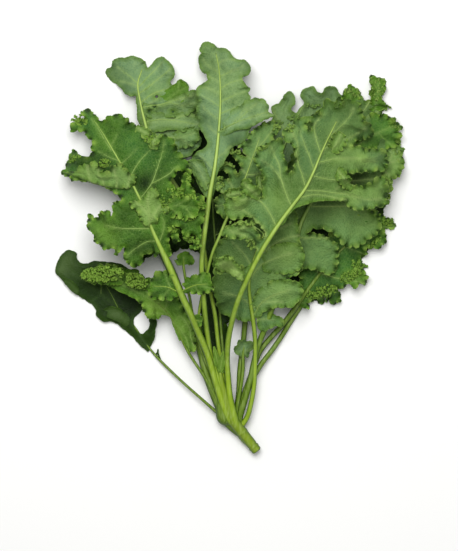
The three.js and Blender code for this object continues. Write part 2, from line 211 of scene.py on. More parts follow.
# how unevenly a ruffle goes along the margin: each drift is a strength and, in wavelengths, the
# stretch over which it changes
drift = dict(size=(0.8, 3), least=0.25, most=1.7, phase=(2.6, 1.7), heave=(1.5, 4), fineLoss=1.4)

mesh = dict(
    marginStep=0.42,                        # spacing of points on the margin
    rings=(0.4, 0.9, 1.5, 2.2),             # depths of the rows of points beside it
    ringShare=0.9, ringClear=0.7,           # least depth of a row's points, and room behind the last row
    fine=1.25, fineDepth=8, coarse=2.5,     # spacing of points near the margin and further in
    ribStep=3,                              # the margin takes every third point of the midrib
    thickness=0.5,
)

# what a blade is where its leaf doesn't say otherwise; heights in mm
plainBlade = dict(
    left=(), right=(), gaps=(),             # its outline from the midrib round the tip, and holes
    frill=1.0, coarse=1.0, billow=1.0,      # strength and size of its small ruffles, and of the wide one
    hills=2.2, pucker=1.5, fold=3.0,        # swells, and how it stands up between veins and main veins
    camber=0, arch=0, rim=0.5,              # drop of its margin, height half way, turned-up edge
    veins=None, veinSize=0.62, veinStep=6,  # main veins where they are set, radius, gap between branches
    sweep=0.6, lobe=9,                      # slant of veins that aren't set, and the margin each one serves
    paintedLightAndTints=(),                              # painted light and shade, partly the leaf's own tint: x, y, reach and strength
    turned=False, rib=True, ribRadius=0.7,  # shows its other face, and has a midrib of its own
)
plainLeaf = dict(
    plainBlade, taper=0.9, grain=1.0, fresh=0.0,
    front="upper", back="under", skin="stem", veinSkin="vein",
    lobes=(), curls=(), curlTone=0.6,
)
plainLobe = dict(plainBlade, bare=0, billow=0.4, hills=0.6, fold=0)


def marginRing(blade, line):
    # the listed margin as a closed ring of x, y, lift, extra frill: up the left side, round
    # the tip, down the right side and back along the midrib, which has no frill
    left, right = ([tuple(p) + (0,) * (4 - len(p)) for p in blade[side]] for side in ("left", "right"))
    rib = [(x, y, 0, -1) for x, y in line[:, :2]]

    def nearest(spot):
        return int(np.hypot(line[:, 0] - spot[0], line[:, 1] - spot[1]).argmin())

    if not left:
        base = rib[::-mesh["ribStep"]]
    else:
        first, last = nearest(right[0]), nearest(left[0])
        step = mesh["ribStep"] if last >= first else -mesh["ribStep"]
        base = rib[first:last:step] + [rib[last]]
    ring = left + right[::-1] + base
    return ring + ring[:1]


def inside(points, rings):
    # whether each point is in the blade: it crosses the rings an odd number of times
    crossings = np.zeros(len(points), int)
    for ring in rings:
        ax, ay = ring[:-1, 0], ring[:-1, 1]
        bx, by = ring[1:, 0], ring[1:, 1]
        rise = np.where(by == ay, 1e-9, by - ay)
        for first in range(0, len(points), batch):
            part = slice(first, first + batch)
            x, y = points[part, 0, None], points[part, 1, None]
            crosses = ((ay > y) != (by > y)) & (x < (bx - ax) * (y - ay) / rise + ax)
            crossings[part] += crosses.sum(1)
    return crossings % 2 == 1


def carryInwards(points, margin, fields, narrowest=0.35, widen=0.28):
    # depth inside the margin at each point, and the margin's values there: each is blended
    # from the margin nearby, over a wider stretch the deeper the point lies
    depth = np.empty(len(points))
    values = np.empty((len(points), fields.shape[1]))
    for first in range(0, len(points), batch):
        part = slice(first, first + batch)
        gap = (points[part, 0, None] - margin[:, 0]) ** 2 + (points[part, 1, None] - margin[:, 1]) ** 2
        nearest = gap.min(1, keepdims=True)
        depth[part] = np.sqrt(nearest[:, 0])
        width = 2 * (narrowest + widen * np.sqrt(nearest)) ** 2
        weight = np.exp((nearest - gap) / width)
        values[part] = weight @ fields / weight.sum(1, keepdims=True)
    return depth, values


def nearestOnLine(points, line):
    # the line's point that is nearest to each point, and how far away it is
    index = np.empty(len(points), int)
    away = np.empty(len(points))
    for first in range(0, len(points), batch):
        part = slice(first, first + batch)
        gap = np.hypot(points[part, 0, None] - line[:, 0], points[part, 1, None] - line[:, 1])
        index[part] = gap.argmin(1)
        away[part] = gap.min(1)
    return index, away


def distanceTo(paths, flat):
    # distance from each point to the nearest of some flat lines, far away where there are none
    tree = searchTree(np.vstack([[(-1000, -1000)]] + paths))
    return np.array([tree.find((x, y, 0))[2] for x, y in flat])


def staggeredGrid(low, high, step):
    across = np.arange(low[0], high[0], step)
    up = np.arange(low[1], high[1], step * 0.866)
    x, y = np.meshgrid(across, up)
    x = x + np.where(np.arange(len(up)) % 2, step / 2, 0)[:, None]
    return np.column_stack([x.ravel(), y.ravel()])


def outwardOf(ring, rings, smooth, reach=0.3):
    # directions along a ring and out of the blade at each of its points
    step = blur(np.gradient(ring[:, :2], axis=0), smooth)
    tangent = step / np.maximum(np.hypot(*step.T), 1e-6)[:, None]
    outward = np.column_stack([tangent[:, 1], -tangent[:, 0]])
    probe = inside(ring[::5, :2] + outward[::5] * reach, rings)
    return tangent, -outward if probe.mean() > 0.5 else outward


def triangulate(rings, grain):
    # points and triangles that fill a blade, closer together near its margin
    edge = np.vstack([ring[:-1, :2] for ring in rings])
    nothing = np.zeros((len(edge), 1))
    picked = []
    for ring in rings:
        _, outward = outwardOf(ring, rings, 2)
        for depth in mesh["rings"]:
            row = (ring[:, :2] - outward * depth)[:: 1 if depth < 1 else 2]
            far, _ = carryInwards(row, edge, nothing)
            picked.append(row[(far > mesh["ringShare"] * depth) & inside(row, rings)])
    low, high = edge.min(0), edge.max(0)
    bands = ((mesh["fine"] * grain, mesh["rings"][-1] + mesh["ringClear"], mesh["fineDepth"]),
             (mesh["coarse"] * grain, mesh["fineDepth"], np.inf))
    for step, shallow, deep in bands:
        grid = staggeredGrid(low, high, step)
        grid = grid[inside(grid, rings)]
        if len(grid):
            far, _ = carryInwards(grid, edge, nothing)
            picked.append(grid[(far > shallow) & (far <= deep)])
    spots = np.vstack([edge] + picked)
    links, first = [], 0
    for ring in rings:
        count = len(ring) - 1
        links += [(first + k, first + (k + 1) % count) for k in range(count)]
        first += count
    found = delaunay_2d_cdt([Vector(p) for p in spots], links, [], 0, 1e-4, False)
    points = np.array([tuple(p) for p in found[0]])
    faces = np.array([f for f in found[2] if len(f) == 3])
    faces = faces[inside(points[faces].mean(1), rings)]
    used, faces = np.unique(faces, return_inverse=True)
    return points[used], faces.reshape(-1, 3)


def ruffleFields(ring, run, rings, blade, rng):
    # a ring's lift and frill, and how far each ruffle moves it in x, y and z
    tangent, outward = outwardOf(ring, rings, 3)
    frill = np.maximum(0, 1 + ring[:, 3])
    fields = [ring[:, 2], frill]
    for order, ruffle in enumerate(ruffles):
        wave = ruffle["wave"] * (blade["coarse"] if order else 1)
        strength = blade["frill"] if order else blade["billow"]
        strength *= min(1, drift["fineLoss"] * wave / ruffle["wave"])
        amount, stretch = drift["size"]
        swelling = np.clip(1 + amount * wander(run, wave * stretch, rng), drift["least"], drift["most"])
        size = wave * strength * frill * swelling
        amount, stretch = drift["phase"]
        phase = 2 * np.pi * run / wave + amount * wander(run, wave * stretch, rng)
        tooth = 1 - 2 * np.abs(np.sin(phase / 2)) if ruffle["teeth"] else np.cos(phase)
        swing = size * ruffle["swing"] * tooth
        sway = size * ruffle["sway"] * np.sin(phase)
        amount, stretch = drift["heave"]
        heave = size * ruffle["heave"] * np.cos(phase / 2 + amount * wander(run, wave * stretch, rng))
        fields.append(swing * outward[:, 0] + sway * tangent[:, 0])
        fields.append(swing * outward[:, 1] + sway * tangent[:, 1])
        fields.append(heave)
    return np.column_stack(fields)


def swell(x, y, rng, size, count=7):
    # gentle hills and hollows, about -1 to 1
    total = np.zeros_like(x)
    for _ in range(count):
        turn = rng.uniform(0, 2 * np.pi)
        wave = size * rng.uniform(0.7, 1.5)
        phase = rng.uniform(0, 2 * np.pi)
        total += np.sin((x * math.cos(turn) + y * math.sin(turn)) * 2 * np.pi / wave + phase)
    return total / math.sqrt(count * 2)


# reaches in mm over which a blade's relief grows from its midrib, veins or margin
relief = dict(
    ribCalm=8, marginCalm=6,            # no ruffle this near the midrib, no puckers this near the edge
    camber=30, hill=25, hillSize=44, fold=40,
    puckerWidth=3.2, foldWidth=9,       # half widths of the furrows along veins and main veins
    # the rise in mm at which a ruffle's painted light and shade are full
    rimDepth=1.4, veinShow=1.3, paintedShadingFull=2.5,
    fade=1.6, ease=1.6,                 # powers by which a ruffle dies away and a margin lifts
)


def bladeSheet(blade, line, along, rng, grain, toViewer, ground):
    # a blade as points in space with triangles between them, and what its finish needs
    outlines = [marginRing(blade, line)] + [gap + gap[:1] for gap in blade["gaps"]]
    smooth = [smoothLine(outline, mesh["marginStep"] * grain, 4) for outline in outlines]
    rings = [ring for ring, _ in smooth]
    flat, faces = triangulate(rings, grain)
    fields = np.vstack([ruffleFields(ring, run, rings, blade, rng) for ring, run in smooth])
    depth, carried = carryInwards(flat, np.vstack(rings), fields)
    ahead = along >= blade["bare"] - stems["overlap"]
    ribLine = line[ahead]
    index, fromRib = nearestOnLine(flat, ribLine)
    across = fromRib / np.maximum(fromRib + depth, 1e-6)

    veins, mainCount = bladeVeins(blade, ribLine, along[ahead], rings, rng)
    fromMain = np.minimum(fromRib, distanceTo([path for path, _ in veins[:mainCount]], flat))
    fromVein = np.minimum(fromMain, distanceTo([path for path, _ in veins], flat))

    room = smoothStep(fromRib / relief["ribCalm"])
    x, y = flat[:, 0].copy(), flat[:, 1].copy()
    rise = np.zeros(len(flat))
    paintedShading = np.zeros(len(flat))
    for order, ruffle in enumerate(ruffles):
        fade = np.exp(-(depth / ruffle["depth"] / blade["coarse"]) ** relief["fade"]) * room
        moveX, moveY, moveUp = carried[:, 3 * order + 2:3 * order + 5].T * fade
        x += moveX
        y += moveY
        rise += moveUp
        # painted light on the rises of the ruffles and painted shade in their dips
        paintedShading += moveUp * ruffle["paintedShadingWeight"]
    root = ribLine[index]
    offset = root[:, 2] - ground(root[:, 0], root[:, 1])
    z = ground(x, y) + offset * (1 - across) ** 2 + rise + blade["arch"] * np.sin(np.pi * across)
    z += carried[:, 0] * across ** relief["ease"]
    z += blade["camber"] * (1 - (1 - across) ** 2) * smoothStep((fromRib + depth) / relief["camber"])
    z += blade["hills"] * swell(x, y, rng, relief["hillSize"]) * smoothStep(fromRib / relief["hill"])
    between = blade["pucker"] * (1 - np.exp(-(fromVein / relief["puckerWidth"]) ** 2))
    folds = blade["fold"] * (1 - np.exp(-(fromMain / relief["foldWidth"]) ** 2))
    between += folds * smoothStep((fromRib + depth) / relief["fold"])
    z -= toViewer * between * smoothStep(depth / relief["marginCalm"])
    z += blade["rim"] * np.exp(-depth / relief["rimDepth"]) * carried[:, 1] * room
    # the shade mark is painted light above zero and painted shade below it, from the listed spots, and
    # partly the leaf's own tint
    shade = np.zeros(len(flat))
    for spotX, spotY, reach, shift in blade["paintedLightAndTints"]:
        shade += shift * np.exp(-((flat[:, 0] - spotX) ** 2 + (flat[:, 1] - spotY) ** 2) / reach ** 2)
    marks = dict(margin=depth, vein=np.exp(-(fromMain / relief["veinShow"]) ** 2),
                 paintedShading=np.clip(paintedShading / relief["paintedShadingFull"], -1, 1), shade=shade)
    return dict(sheet=np.column_stack([x, y, z]), flat=flat, faces=faces, veins=veins, marks=marks)


# side veins that aren't listed, and the finer ones that branch off every side vein, in mm
branch = dict(
    step=1.2, shortest=9, reach=0.93, lead=5, bend=0.45, slump=-0.06, fullLength=40,
    twigStep=1.5, twigSteps=14, twigClear=1.8, twigSize=0.38,
    twigTurn=(32, 66), twigPull=0.06, twigStray=0.06, twigStart=0.7, twigScatter=0.3,
)


def unitOf(way):
    return way / max(1e-6, math.hypot(*way))


def mainVeins(blade, ribLine, ribAlong, rings):
    # one side vein to each place where the margin stands out furthest from the midrib
    margin = rings[0]
    index, away = nearestOnLine(margin, ribLine)
    start = np.clip(ribAlong[index] - blade["sweep"] * away, ribAlong[0], ribAlong[-1])
    window = max(2, int(blade["lobe"] / mesh["marginStep"]))
    mains = []
    for k in range(len(margin) - 1):
        nearby = away[max(0, k - window):k + window + 1]
        if away[k] < nearby.max() or away[k] < branch["shortest"] or margin[k, 3] < -0.5:
            continue
        foot = np.array([np.interp(start[k], ribAlong, ribLine[:, c]) for c in (0, 1)])
        lead = np.array([np.interp(start[k] + branch["lead"], ribAlong, ribLine[:, c]) for c in (0, 1)])
        reach = margin[k, :2] - foot
        length = math.hypot(*reach)
        bend = foot + reach * branch["bend"] + unitOf(lead - foot) * (branch["slump"] * length)
        t = np.linspace(0, branch["reach"], max(4, int(length / branch["step"])))[:, None]
        curve = (1 - t) ** 2 * foot + 2 * t * (1 - t) * bend + t ** 2 * margin[k, :2]
        kept = inside(curve, rings)
        kept[:3] = True
        kept = np.logical_and.accumulate(kept)
        if kept.sum() > 6:
            mains.append(curve[kept])
    return mains


def bladeVeins(blade, ribLine, ribAlong, rings, rng):
    # side veins to the lobes, then finer ones that branch off them, as flat lines with a radius
    if blade["veins"] is None:
        mains = mainVeins(blade, ribLine, ribAlong, rings)
    else:
        mains = [smoothLine(points, branch["step"], 2)[0] for points in blade["veins"]]
    rims = np.vstack(rings)[:, :2]
    veins = [(main, blade["veinSize"] * min(1, len(main) * branch["step"] / branch["fullLength"]))
             for main in mains]
    lines = mains + [ribLine[:, :2]]
    for main, size in list(veins):
        count = int(len(main) * branch["step"] / blade["veinStep"] * 2)
        for k in range(count):
            scatter = rng.uniform(-branch["twigScatter"], branch["twigScatter"])
            at = int((k + branch["twigStart"] + scatter) * len(main) / (count + 0.5))
            if at + 2 >= len(main) or at < 2:
                continue
            ahead = unitOf(main[at + 2] - main[at])
            turn = math.radians(rng.uniform(*branch["twigTurn"])) * (1 if k % 2 else -1)
            heading = np.array([ahead[0] * math.cos(turn) - ahead[1] * math.sin(turn),
                                ahead[0] * math.sin(turn) + ahead[1] * math.cos(turn)])
            path = [main[at]]
            others = np.vstack([line for line in lines if line is not main])
            for _ in range(branch["twigSteps"]):
                spot = path[-1] + heading * branch["twigStep"]
                clear = np.hypot(*(rims - spot).T).min() >= branch["twigClear"]
                if not clear or not inside(spot[None], rings)[0]:
                    break
                path.append(spot)
                if np.hypot(*(others - spot).T).min() < branch["twigClear"]:
                    break
                pull, stray = branch["twigPull"], branch["twigStray"]
                heading = unitOf(heading * (1 - pull) + ahead * pull + rng.uniform(-stray, stray, 2))
            if len(path) > 3:
                veins.append((np.array(path), size * branch["twigSize"]))
                lines.append(veins[-1][0])
    return veins, len(mains)


def liftVein(path, flat, sheet, tree, softness=0.2):
    # a flat vein line moved with the sheet that it lies on
    lifted = []
    for x, y in path:
        near = tree.find_n((x, y, 0), 3)
        weights = np.array([1 / (softness + distance) ** 2 for _, _, distance in near])
        picks = [k for _, k, _ in near]
        shift = sheet[picks] - np.column_stack([flat[picks], np.zeros(3)])
        lifted.append(np.array([x, y, 0]) + weights @ shift / weights.sum())
    return np.array(lifted)


class Pile:
    # lowest point so far over each cell of the layout, so that a lower leaf stays under it
    cell, size, gap, soft = 1.5, 320, 0.9, 0.8
    empty, covered = 400.0, 300         # height of a free cell, and what a covered one is under
    floor, under = 0.35, 0.3            # lowest that a sheet lies, and how far down it reaches

    def __init__(self):
        self.low = np.full((self.size, self.size), self.empty)

    def cells(self, x, y):
        i = np.clip((x / self.cell).astype(int), 0, self.size - 1)
        j = np.clip((y / self.cell).astype(int), 0, self.size - 1)
        return i, j

    def tuck(self, sheet):
        ceiling = self.low[self.cells(sheet[..., 0], sheet[..., 1])] - self.gap
        under = ceiling - self.soft * np.logaddexp(0, (ceiling - sheet[..., 2]) / self.soft)
        sheet[..., 2] = np.where(ceiling < self.covered, under, sheet[..., 2])
        sheet[..., 2] = np.maximum(sheet[..., 2], self.floor)

    def cover(self, points, heights):
        np.minimum.at(self.low, self.cells(points[..., 0], points[..., 1]), heights)

    def spread(self, passes=9, steepness=1.1):
        # neighbours of a covered cell may rise only so steeply
        for _ in range(passes):
            grown = self.low.copy()
            rise = self.cell * steepness
            grown[1:] = np.minimum(grown[1:], self.low[:-1] + rise)
            grown[:-1] = np.minimum(grown[:-1], self.low[1:] + rise)
            grown[:, 1:] = np.minimum(grown[:, 1:], self.low[:, :-1] + rise)
            grown[:, :-1] = np.minimum(grown[:, :-1], self.low[:, 1:] + rise)
            self.low = grown


def hexColour(code):
    # an sRGB hex code as linear red, green and blue, fully opaque
    channels = [int(code[k:k + 2], 16) / 255 for k in (1, 3, 5)]
    return [c / 12.92 if c <= 0.04045 else ((c + 0.055) / 1.055) ** 2.4 for c in channels] + [1]


def perMetre(sizeMm):
    return mmPerMetre / sizeMm


def addNode(tree, kind, output, settings=None, inputs=None):
    # adds a node and gives one of its outputs; an input that is an output of another node is
    # linked, any other is a value
    node = tree.nodes.new(kind)
    for key, value in (settings or {}).items():
        setattr(node, key, value)
    for key, value in (inputs or {}).items():
        if isinstance(value, bpy.types.NodeSocket):
            tree.links.new(value, node.inputs[key])
        else:
            node.inputs[key].default_value = value
    return node.outputs[output]


def newFinish(name, roughness, gloss=0.5):
    finish = bpy.data.materials.new(name)
    finish.use_nodes = True
    shader = finish.node_tree.nodes["Principled BSDF"]
    shader.inputs["Roughness"].default_value = roughness
    shader.inputs["Specular IOR Level"].default_value = gloss
    return finish, finish.node_tree, shader


def layColours(tree, colour, layers):
    # lays colours over each other: what each one follows, where that starts and is full, the
    # most that the colour then covers, and its hex code
    for guide, start, full, cover, code in layers:
        share = addNode(tree, "ShaderNodeMapRange", 0, None,
                        {"Value": guide, "From Min": start, "From Max": full, "To Max": cover})
        colour = addNode(tree, "ShaderNodeMix", 2, dict(data_type="RGBA"),
                         {0: share, 6: colour, 7: hexColour(code)})
    return colour


# sizes in mm and detail of the patterns in a leaf's skin, from broad clouds to its fine grain,
# and of the net of small veins, which is drawn about twice as coarse as a real one so that it shows
leafPatterns = dict(
    patches=(34, 2.0, 0.5), cloud=(75, 1.0, 0.5), mottle=(7, 4.0, 0.65), grain=(1.4, 3.0, 0.5),
)
leafNet = dict(size=2.8, bendSize=3, bend=0.0022)


def leafFinish(name, colours, roughness, gloss, netRelief):
    # leaf skin under a thin coat of wax: matt, blotched by age and depth and lighter along its veins;
    # painted highlights on its rises and rims, painted shade in its dips, and listed spots of painted light
    # and shade, partly its own tint
    finish, tree, shader = newFinish(name, roughness, gloss)
    place = addNode(tree, "ShaderNodeTexCoord", "Object")
    mark = {key: addNode(tree, "ShaderNodeAttribute", "Fac", dict(attribute_name=key))
            for key in ("margin", "vein", "tone", "paintedShading", "shade")}
    pattern = {key: addNode(tree, "ShaderNodeTexNoise", 0, None, {"Vector": place, "Scale": perMetre(size),
                                                                 "Detail": detail, "Roughness": rough})
               for key, (size, detail, rough) in leafPatterns.items()}
    waver = addNode(tree, "ShaderNodeTexNoise", 1, None,
                    {"Vector": place, "Scale": perMetre(leafNet["bendSize"])})
    bent = addNode(tree, "ShaderNodeMix", 1, dict(data_type="VECTOR"),
                   {0: leafNet["bend"], 4: place, 5: waver})
    net = addNode(tree, "ShaderNodeTexVoronoi", "Distance", dict(feature="DISTANCE_TO_EDGE"),
                  {"Vector": bent, "Scale": perMetre(leafNet["size"])})
    nearEdge = addNode(tree, "ShaderNodeMath", 0, dict(operation="MULTIPLY_ADD"),
                       {0: pattern["mottle"], 1: 5.0, 2: mark["margin"]})
    # painted highlight along the very rim, where an edge catches the light, broken into patches
    onRim = addNode(tree, "ShaderNodeMapRange", 0, None,
                    {"Value": mark["margin"], "From Min": 0.9, "From Max": 0.1})
    inPatches = addNode(tree, "ShaderNodeMapRange", 0, None,
                        {"Value": pattern["mottle"], "From Min": 0.45, "From Max": 0.65})
    paintedRimHighlight = addNode(tree, "ShaderNodeMath", 0, dict(operation="MULTIPLY"), {0: onRim, 1: inPatches})
    colour = layColours(tree, hexColour(colours["deep"]), (
        (pattern["patches"], 0.38, 0.62, 1, colours["body"]),
        (pattern["cloud"], 0.45, 0.6, 0.7, colours["cool"]),
        (pattern["mottle"], 0.4, 0.75, 0.5, colours["light"]),
        (net, 0.16, 0, colours["net"], colours["vein"]),
        (mark["tone"], 0, 1, 1, colours["fresh"]),
        # painted light, partly the leaf's own tint, from the spots listed on a blade
        (mark["shade"], 0, 1, 1, colours["fresh"]),
        (nearEdge, 8.0, 2.6, 0.85, colours["edge"]),
        # painted highlights on the rises of ruffles and along the rim, painted shade in their dips
        (mark["paintedShading"], 0.1, 1, 0.6, colours["frill"]),
        (mark["paintedShading"], -0.05, -0.7, 0.85, colours["paintedShadeTone"]),
        (paintedRimHighlight, 0, 1, 0.6, colours["frill"]),
        # painted shade, partly the leaf's own tint, from the same spots
        (mark["shade"], 0, -1, 1, colours["paintedShadeTone"]),
        (mark["vein"], 0, 1, 0.38, colours["vein"]),
    ))
    tree.links.new(colour, shader.inputs["Base Color"])
    cushions = addNode(tree, "ShaderNodeMapRange", 0, None, {"Value": net, "From Min": 0.0, "From Max": 0.3})
    height = addNode(tree, "ShaderNodeMath", 0, dict(operation="MULTIPLY_ADD"),
                     {0: cushions, 1: netRelief, 2: pattern["grain"]})
    bump = addNode(tree, "ShaderNodeBump", 0, None, {"Height": height, "Strength": 0.7, "Distance": 0.0010})
    tree.links.new(bump, shader.inputs["Normal"])
    return finish


# a stem's colour changes along the bunch, in metres of y; its fibres are drawn as long streaks
stemPatterns = dict(rootFade=(-0.17, -0.05), tipFade=(-0.02, 0.10), streak=1.6, stretch=0.12, cloud=16)


def stemFinish(name, root, middle, tip, deep, roughness):
    # juicy fibrous skin: paler streaks along it, duller clouds, and darker down its flanks as painted shade
    finish, tree, shader = newFinish(name, roughness, 0.25)
    place = addNode(tree, "ShaderNodeTexCoord", "Object")
    along = addNode(tree, "ShaderNodeSeparateXYZ", "Y", None, {"Vector": place})
    streaks = addNode(tree, "ShaderNodeMapping", 0, None,
                      {"Vector": place, "Scale": (1, stemPatterns["stretch"], 1)})
    grain = addNode(tree, "ShaderNodeTexNoise", 0, None,
                    {"Vector": streaks, "Scale": perMetre(stemPatterns["streak"]), "Detail": 3.0})
    cloud = addNode(tree, "ShaderNodeTexNoise", 0, None,
                    {"Vector": place, "Scale": perMetre(stemPatterns["cloud"])})
    paintedFlankShade = addNode(tree, "ShaderNodeAttribute", "Fac", dict(attribute_name="paintedFlankShade"))
    colour = layColours(tree, hexColour(root), (
        (along, *stemPatterns["rootFade"], 1, middle),
        (along, *stemPatterns["tipFade"], 1, tip),
        (cloud, 0.4, 0.75, 0.35, "#5d7d2a"),
        (grain, 0.45, 0.8, 0.3, "#c6d98a"),
        (paintedFlankShade, 0.05, 0.7, 1, deep),
    ))
    tree.links.new(colour, shader.inputs["Base Color"])
    bump = addNode(tree, "ShaderNodeBump", 0, None, {"Height": grain, "Strength": 0.3, "Distance": 0.0005})
    tree.links.new(bump, shader.inputs["Normal"])
    return finish


# frill is the colour of painted highlights on rises and rims; the darkest tone is painted shade for dips and
# darkened spots; fresh is young tissue and, on listed spots, painted light
upperColours = dict(deep="#2d5212", body="#426c1a", cool="#33632a", light="#58852c", vein="#87a654",
                    edge="#527c1c", frill="#90b04a", paintedShadeTone="#132708", fresh="#739938", net=0.2)
paintedShadeLeafColours = dict(deep="#152707", body="#1f3508", cool="#1a310a", light="#2a4512", vein="#3c5722",
                   edge="#2a440e", frill="#48681f", paintedShadeTone="#0c1905", fresh="#43592b", net=0.06)
underColours = dict(deep="#4e6f2f", body="#608140", cool="#567d4a", light="#769751", vein="#9fb56d",
                    edge="#567a26", frill="#92af52", paintedShadeTone="#223a11", fresh="#84a552", net=0.12)
paleColours = dict(deep="#5a7845", body="#68874f", cool="#668962", light="#86a26c", vein="#98b168",
                   edge="#5a7a2a", frill="#76964f", paintedShadeTone="#36522a", fresh="#6d9333", net=0.22)
youngColours = dict(deep="#567a20", body="#688b2a", cool="#5d8530", light="#84a648", vein="#a3bf66",
                    edge="#6f9632", frill="#98b950", paintedShadeTone="#2f4a12", fresh="#7da03c", net=0.1)
finishes = dict(
    # the face that grew towards the light: deep green with a pale net of small veins
    upper=leafFinish("kale_leaf_upper_face", upperColours, 0.5, 0.12, 0.65),
    # leaves low in the heap, painted nearly black green as painted shade, and a little shinier
    dark=leafFinish("kale_leaf_painted_shade_face", paintedShadeLeafColours, 0.42, 0.10, 0.2),
    # the back of a leaf, greyed by wax, its veins standing out
    under=leafFinish("kale_leaf_underside", underColours, 0.55, 0.12, 0.7),
    # the backs with the thickest wax, bluish and pale
    pale=leafFinish("kale_leaf_waxy_underside", paleColours, 0.55, 0.15, 0.5),
    # leaves that have just opened, yellow green and nearly smooth
    young=leafFinish("kale_heart_leaf_skin", youngColours, 0.5, 0.12, 0.15),
    # stems on top of the bunch, yellow green and paler towards the tip
    stem=stemFinish("kale_stem_skin", "#87a312", "#8ca934", "#a2bd5c", "#3f6014", 0.42),
    # stems lower in the bunch and the knuckle: a darker copy of the stem skin, painted shade
    shaded=stemFinish("kale_stem_skin_painted_shade", "#5c780c", "#617e1a", "#78984a", "#2a480a", 0.45),
    # side veins, close to the leaf in colour so that they stand out softly
    vein=stemFinish("kale_side_vein", "#8aa650", "#86a350", "#8aa857", "#6d8c3e", 0.5),
)


def deselectAll():
    bpy.ops.object.select_all(action="DESELECT")


def newPiece(name, data):
    # a new object, the only one selected
    piece = bpy.data.objects.new(name, data)
    bpy.context.scene.collection.objects.link(piece)
    deselectAll()
    piece.select_set(True)
    bpy.context.view_layer.objects.active = piece
    return piece


def sheetObject(name, points, faces, marks, sides):
    # a thin sheet of points and faces, given its thickness; sides are its top and bottom finish
    shape = bpy.data.meshes.new(name)
    shape.from_pydata(toMetres(points).tolist(), [], faces.tolist())
    for key, values in marks.items():
        layer = shape.attributes.new(key, "FLOAT", "POINT")
        layer.data.foreach_set("value", np.asarray(values, np.float32).ravel())
    normals = np.empty(len(shape.polygons) * 3, np.float32)
    shape.polygons.foreach_get("normal", normals)
    if normals.reshape(-1, 3)[:, 2].sum() < 0:
        shape.flip_normals()        # so that the first finish is on top
    for finish in sides:
        shape.materials.append(finish)
    piece = newPiece(name, shape)
    wall = piece.modifiers.new("thickness", "SOLIDIFY")
    wall.thickness = mesh["thickness"] / mmPerMetre
    wall.offset = 0
    wall.material_offset, wall.material_offset_rim = 1, 0
    bpy.ops.object.modifier_apply(modifier="thickness")
    return piece


def tubesObject(name, lines, finish, roundness):
    # round tapering tubes along lines of x, y, z, radius, all in one mesh
    curve = bpy.data.curves.new(name, "CURVE")
    curve.dimensions = "3D"
    curve.bevel_depth = 1 / mmPerMetre
    curve.bevel_resolution = roundness
    curve.use_fill_caps = True
    for line in lines:
        spline = curve.splines.new("POLY")
        spline.points.add(len(line) - 1)
        for point, spot, radius in zip(spline.points, toMetres(line[:, :3]), line[:, 3]):
            point.co = (*spot, 1)
            point.radius = radius
    newPiece(name, curve)
    bpy.ops.object.convert(target="MESH")
    piece = bpy.context.object
    bpy.ops.object.mode_set(mode="EDIT")
    bpy.ops.mesh.select_all(action="SELECT")
    bpy.ops.mesh.remove_doubles(threshold=1e-6)
    bpy.ops.mesh.normals_make_consistent(inside=False)
    bpy.ops.object.mode_set(mode="OBJECT")
    piece.data.materials.clear()
    piece.data.materials.append(finish)
    normals = np.empty(len(piece.data.vertices) * 3, np.float32)
    piece.data.vertices.foreach_get("normal", normals)
    # how far each point faces sideways; the stem skins paint it darker, painted shade
    paintedFlankShade = piece.data.attributes.new("paintedFlankShade", "FLOAT", "POINT")
    paintedFlankShade.data.foreach_set("value", 1 - np.abs(normals.reshape(-1, 3)[:, 2]))
    return piece


def joinPieces(pieces, name):
    deselectAll()
    for piece in pieces:
        piece.select_set(True)
    bpy.context.view_layer.objects.active = pieces[0]
    bpy.ops.object.join()
    joined = bpy.context.object
    joined.name = joined.data.name = name
    bpy.ops.object.shade_smooth()
    return joined


# the tightest curls of a margin, as little crimped florets; lengths in mm
curl = dict(
    size=1.45, sizes=(0.6, 1.4), lift=1.6, lifts=(0.2, 1.3),
    saddle=0.55, crimp=0.5, lobes=0.3, lean=1.0, unevenRise=0.15, unevenEdge=0.12,
    # how strongly a floret's rises are painted lighter and its dips darker, and the painted light that every
    # floret has
    rings=(0.5, 1.0), sides=10, points=5, paintedShading=2.0, paintedShadingBase=0.45,
)


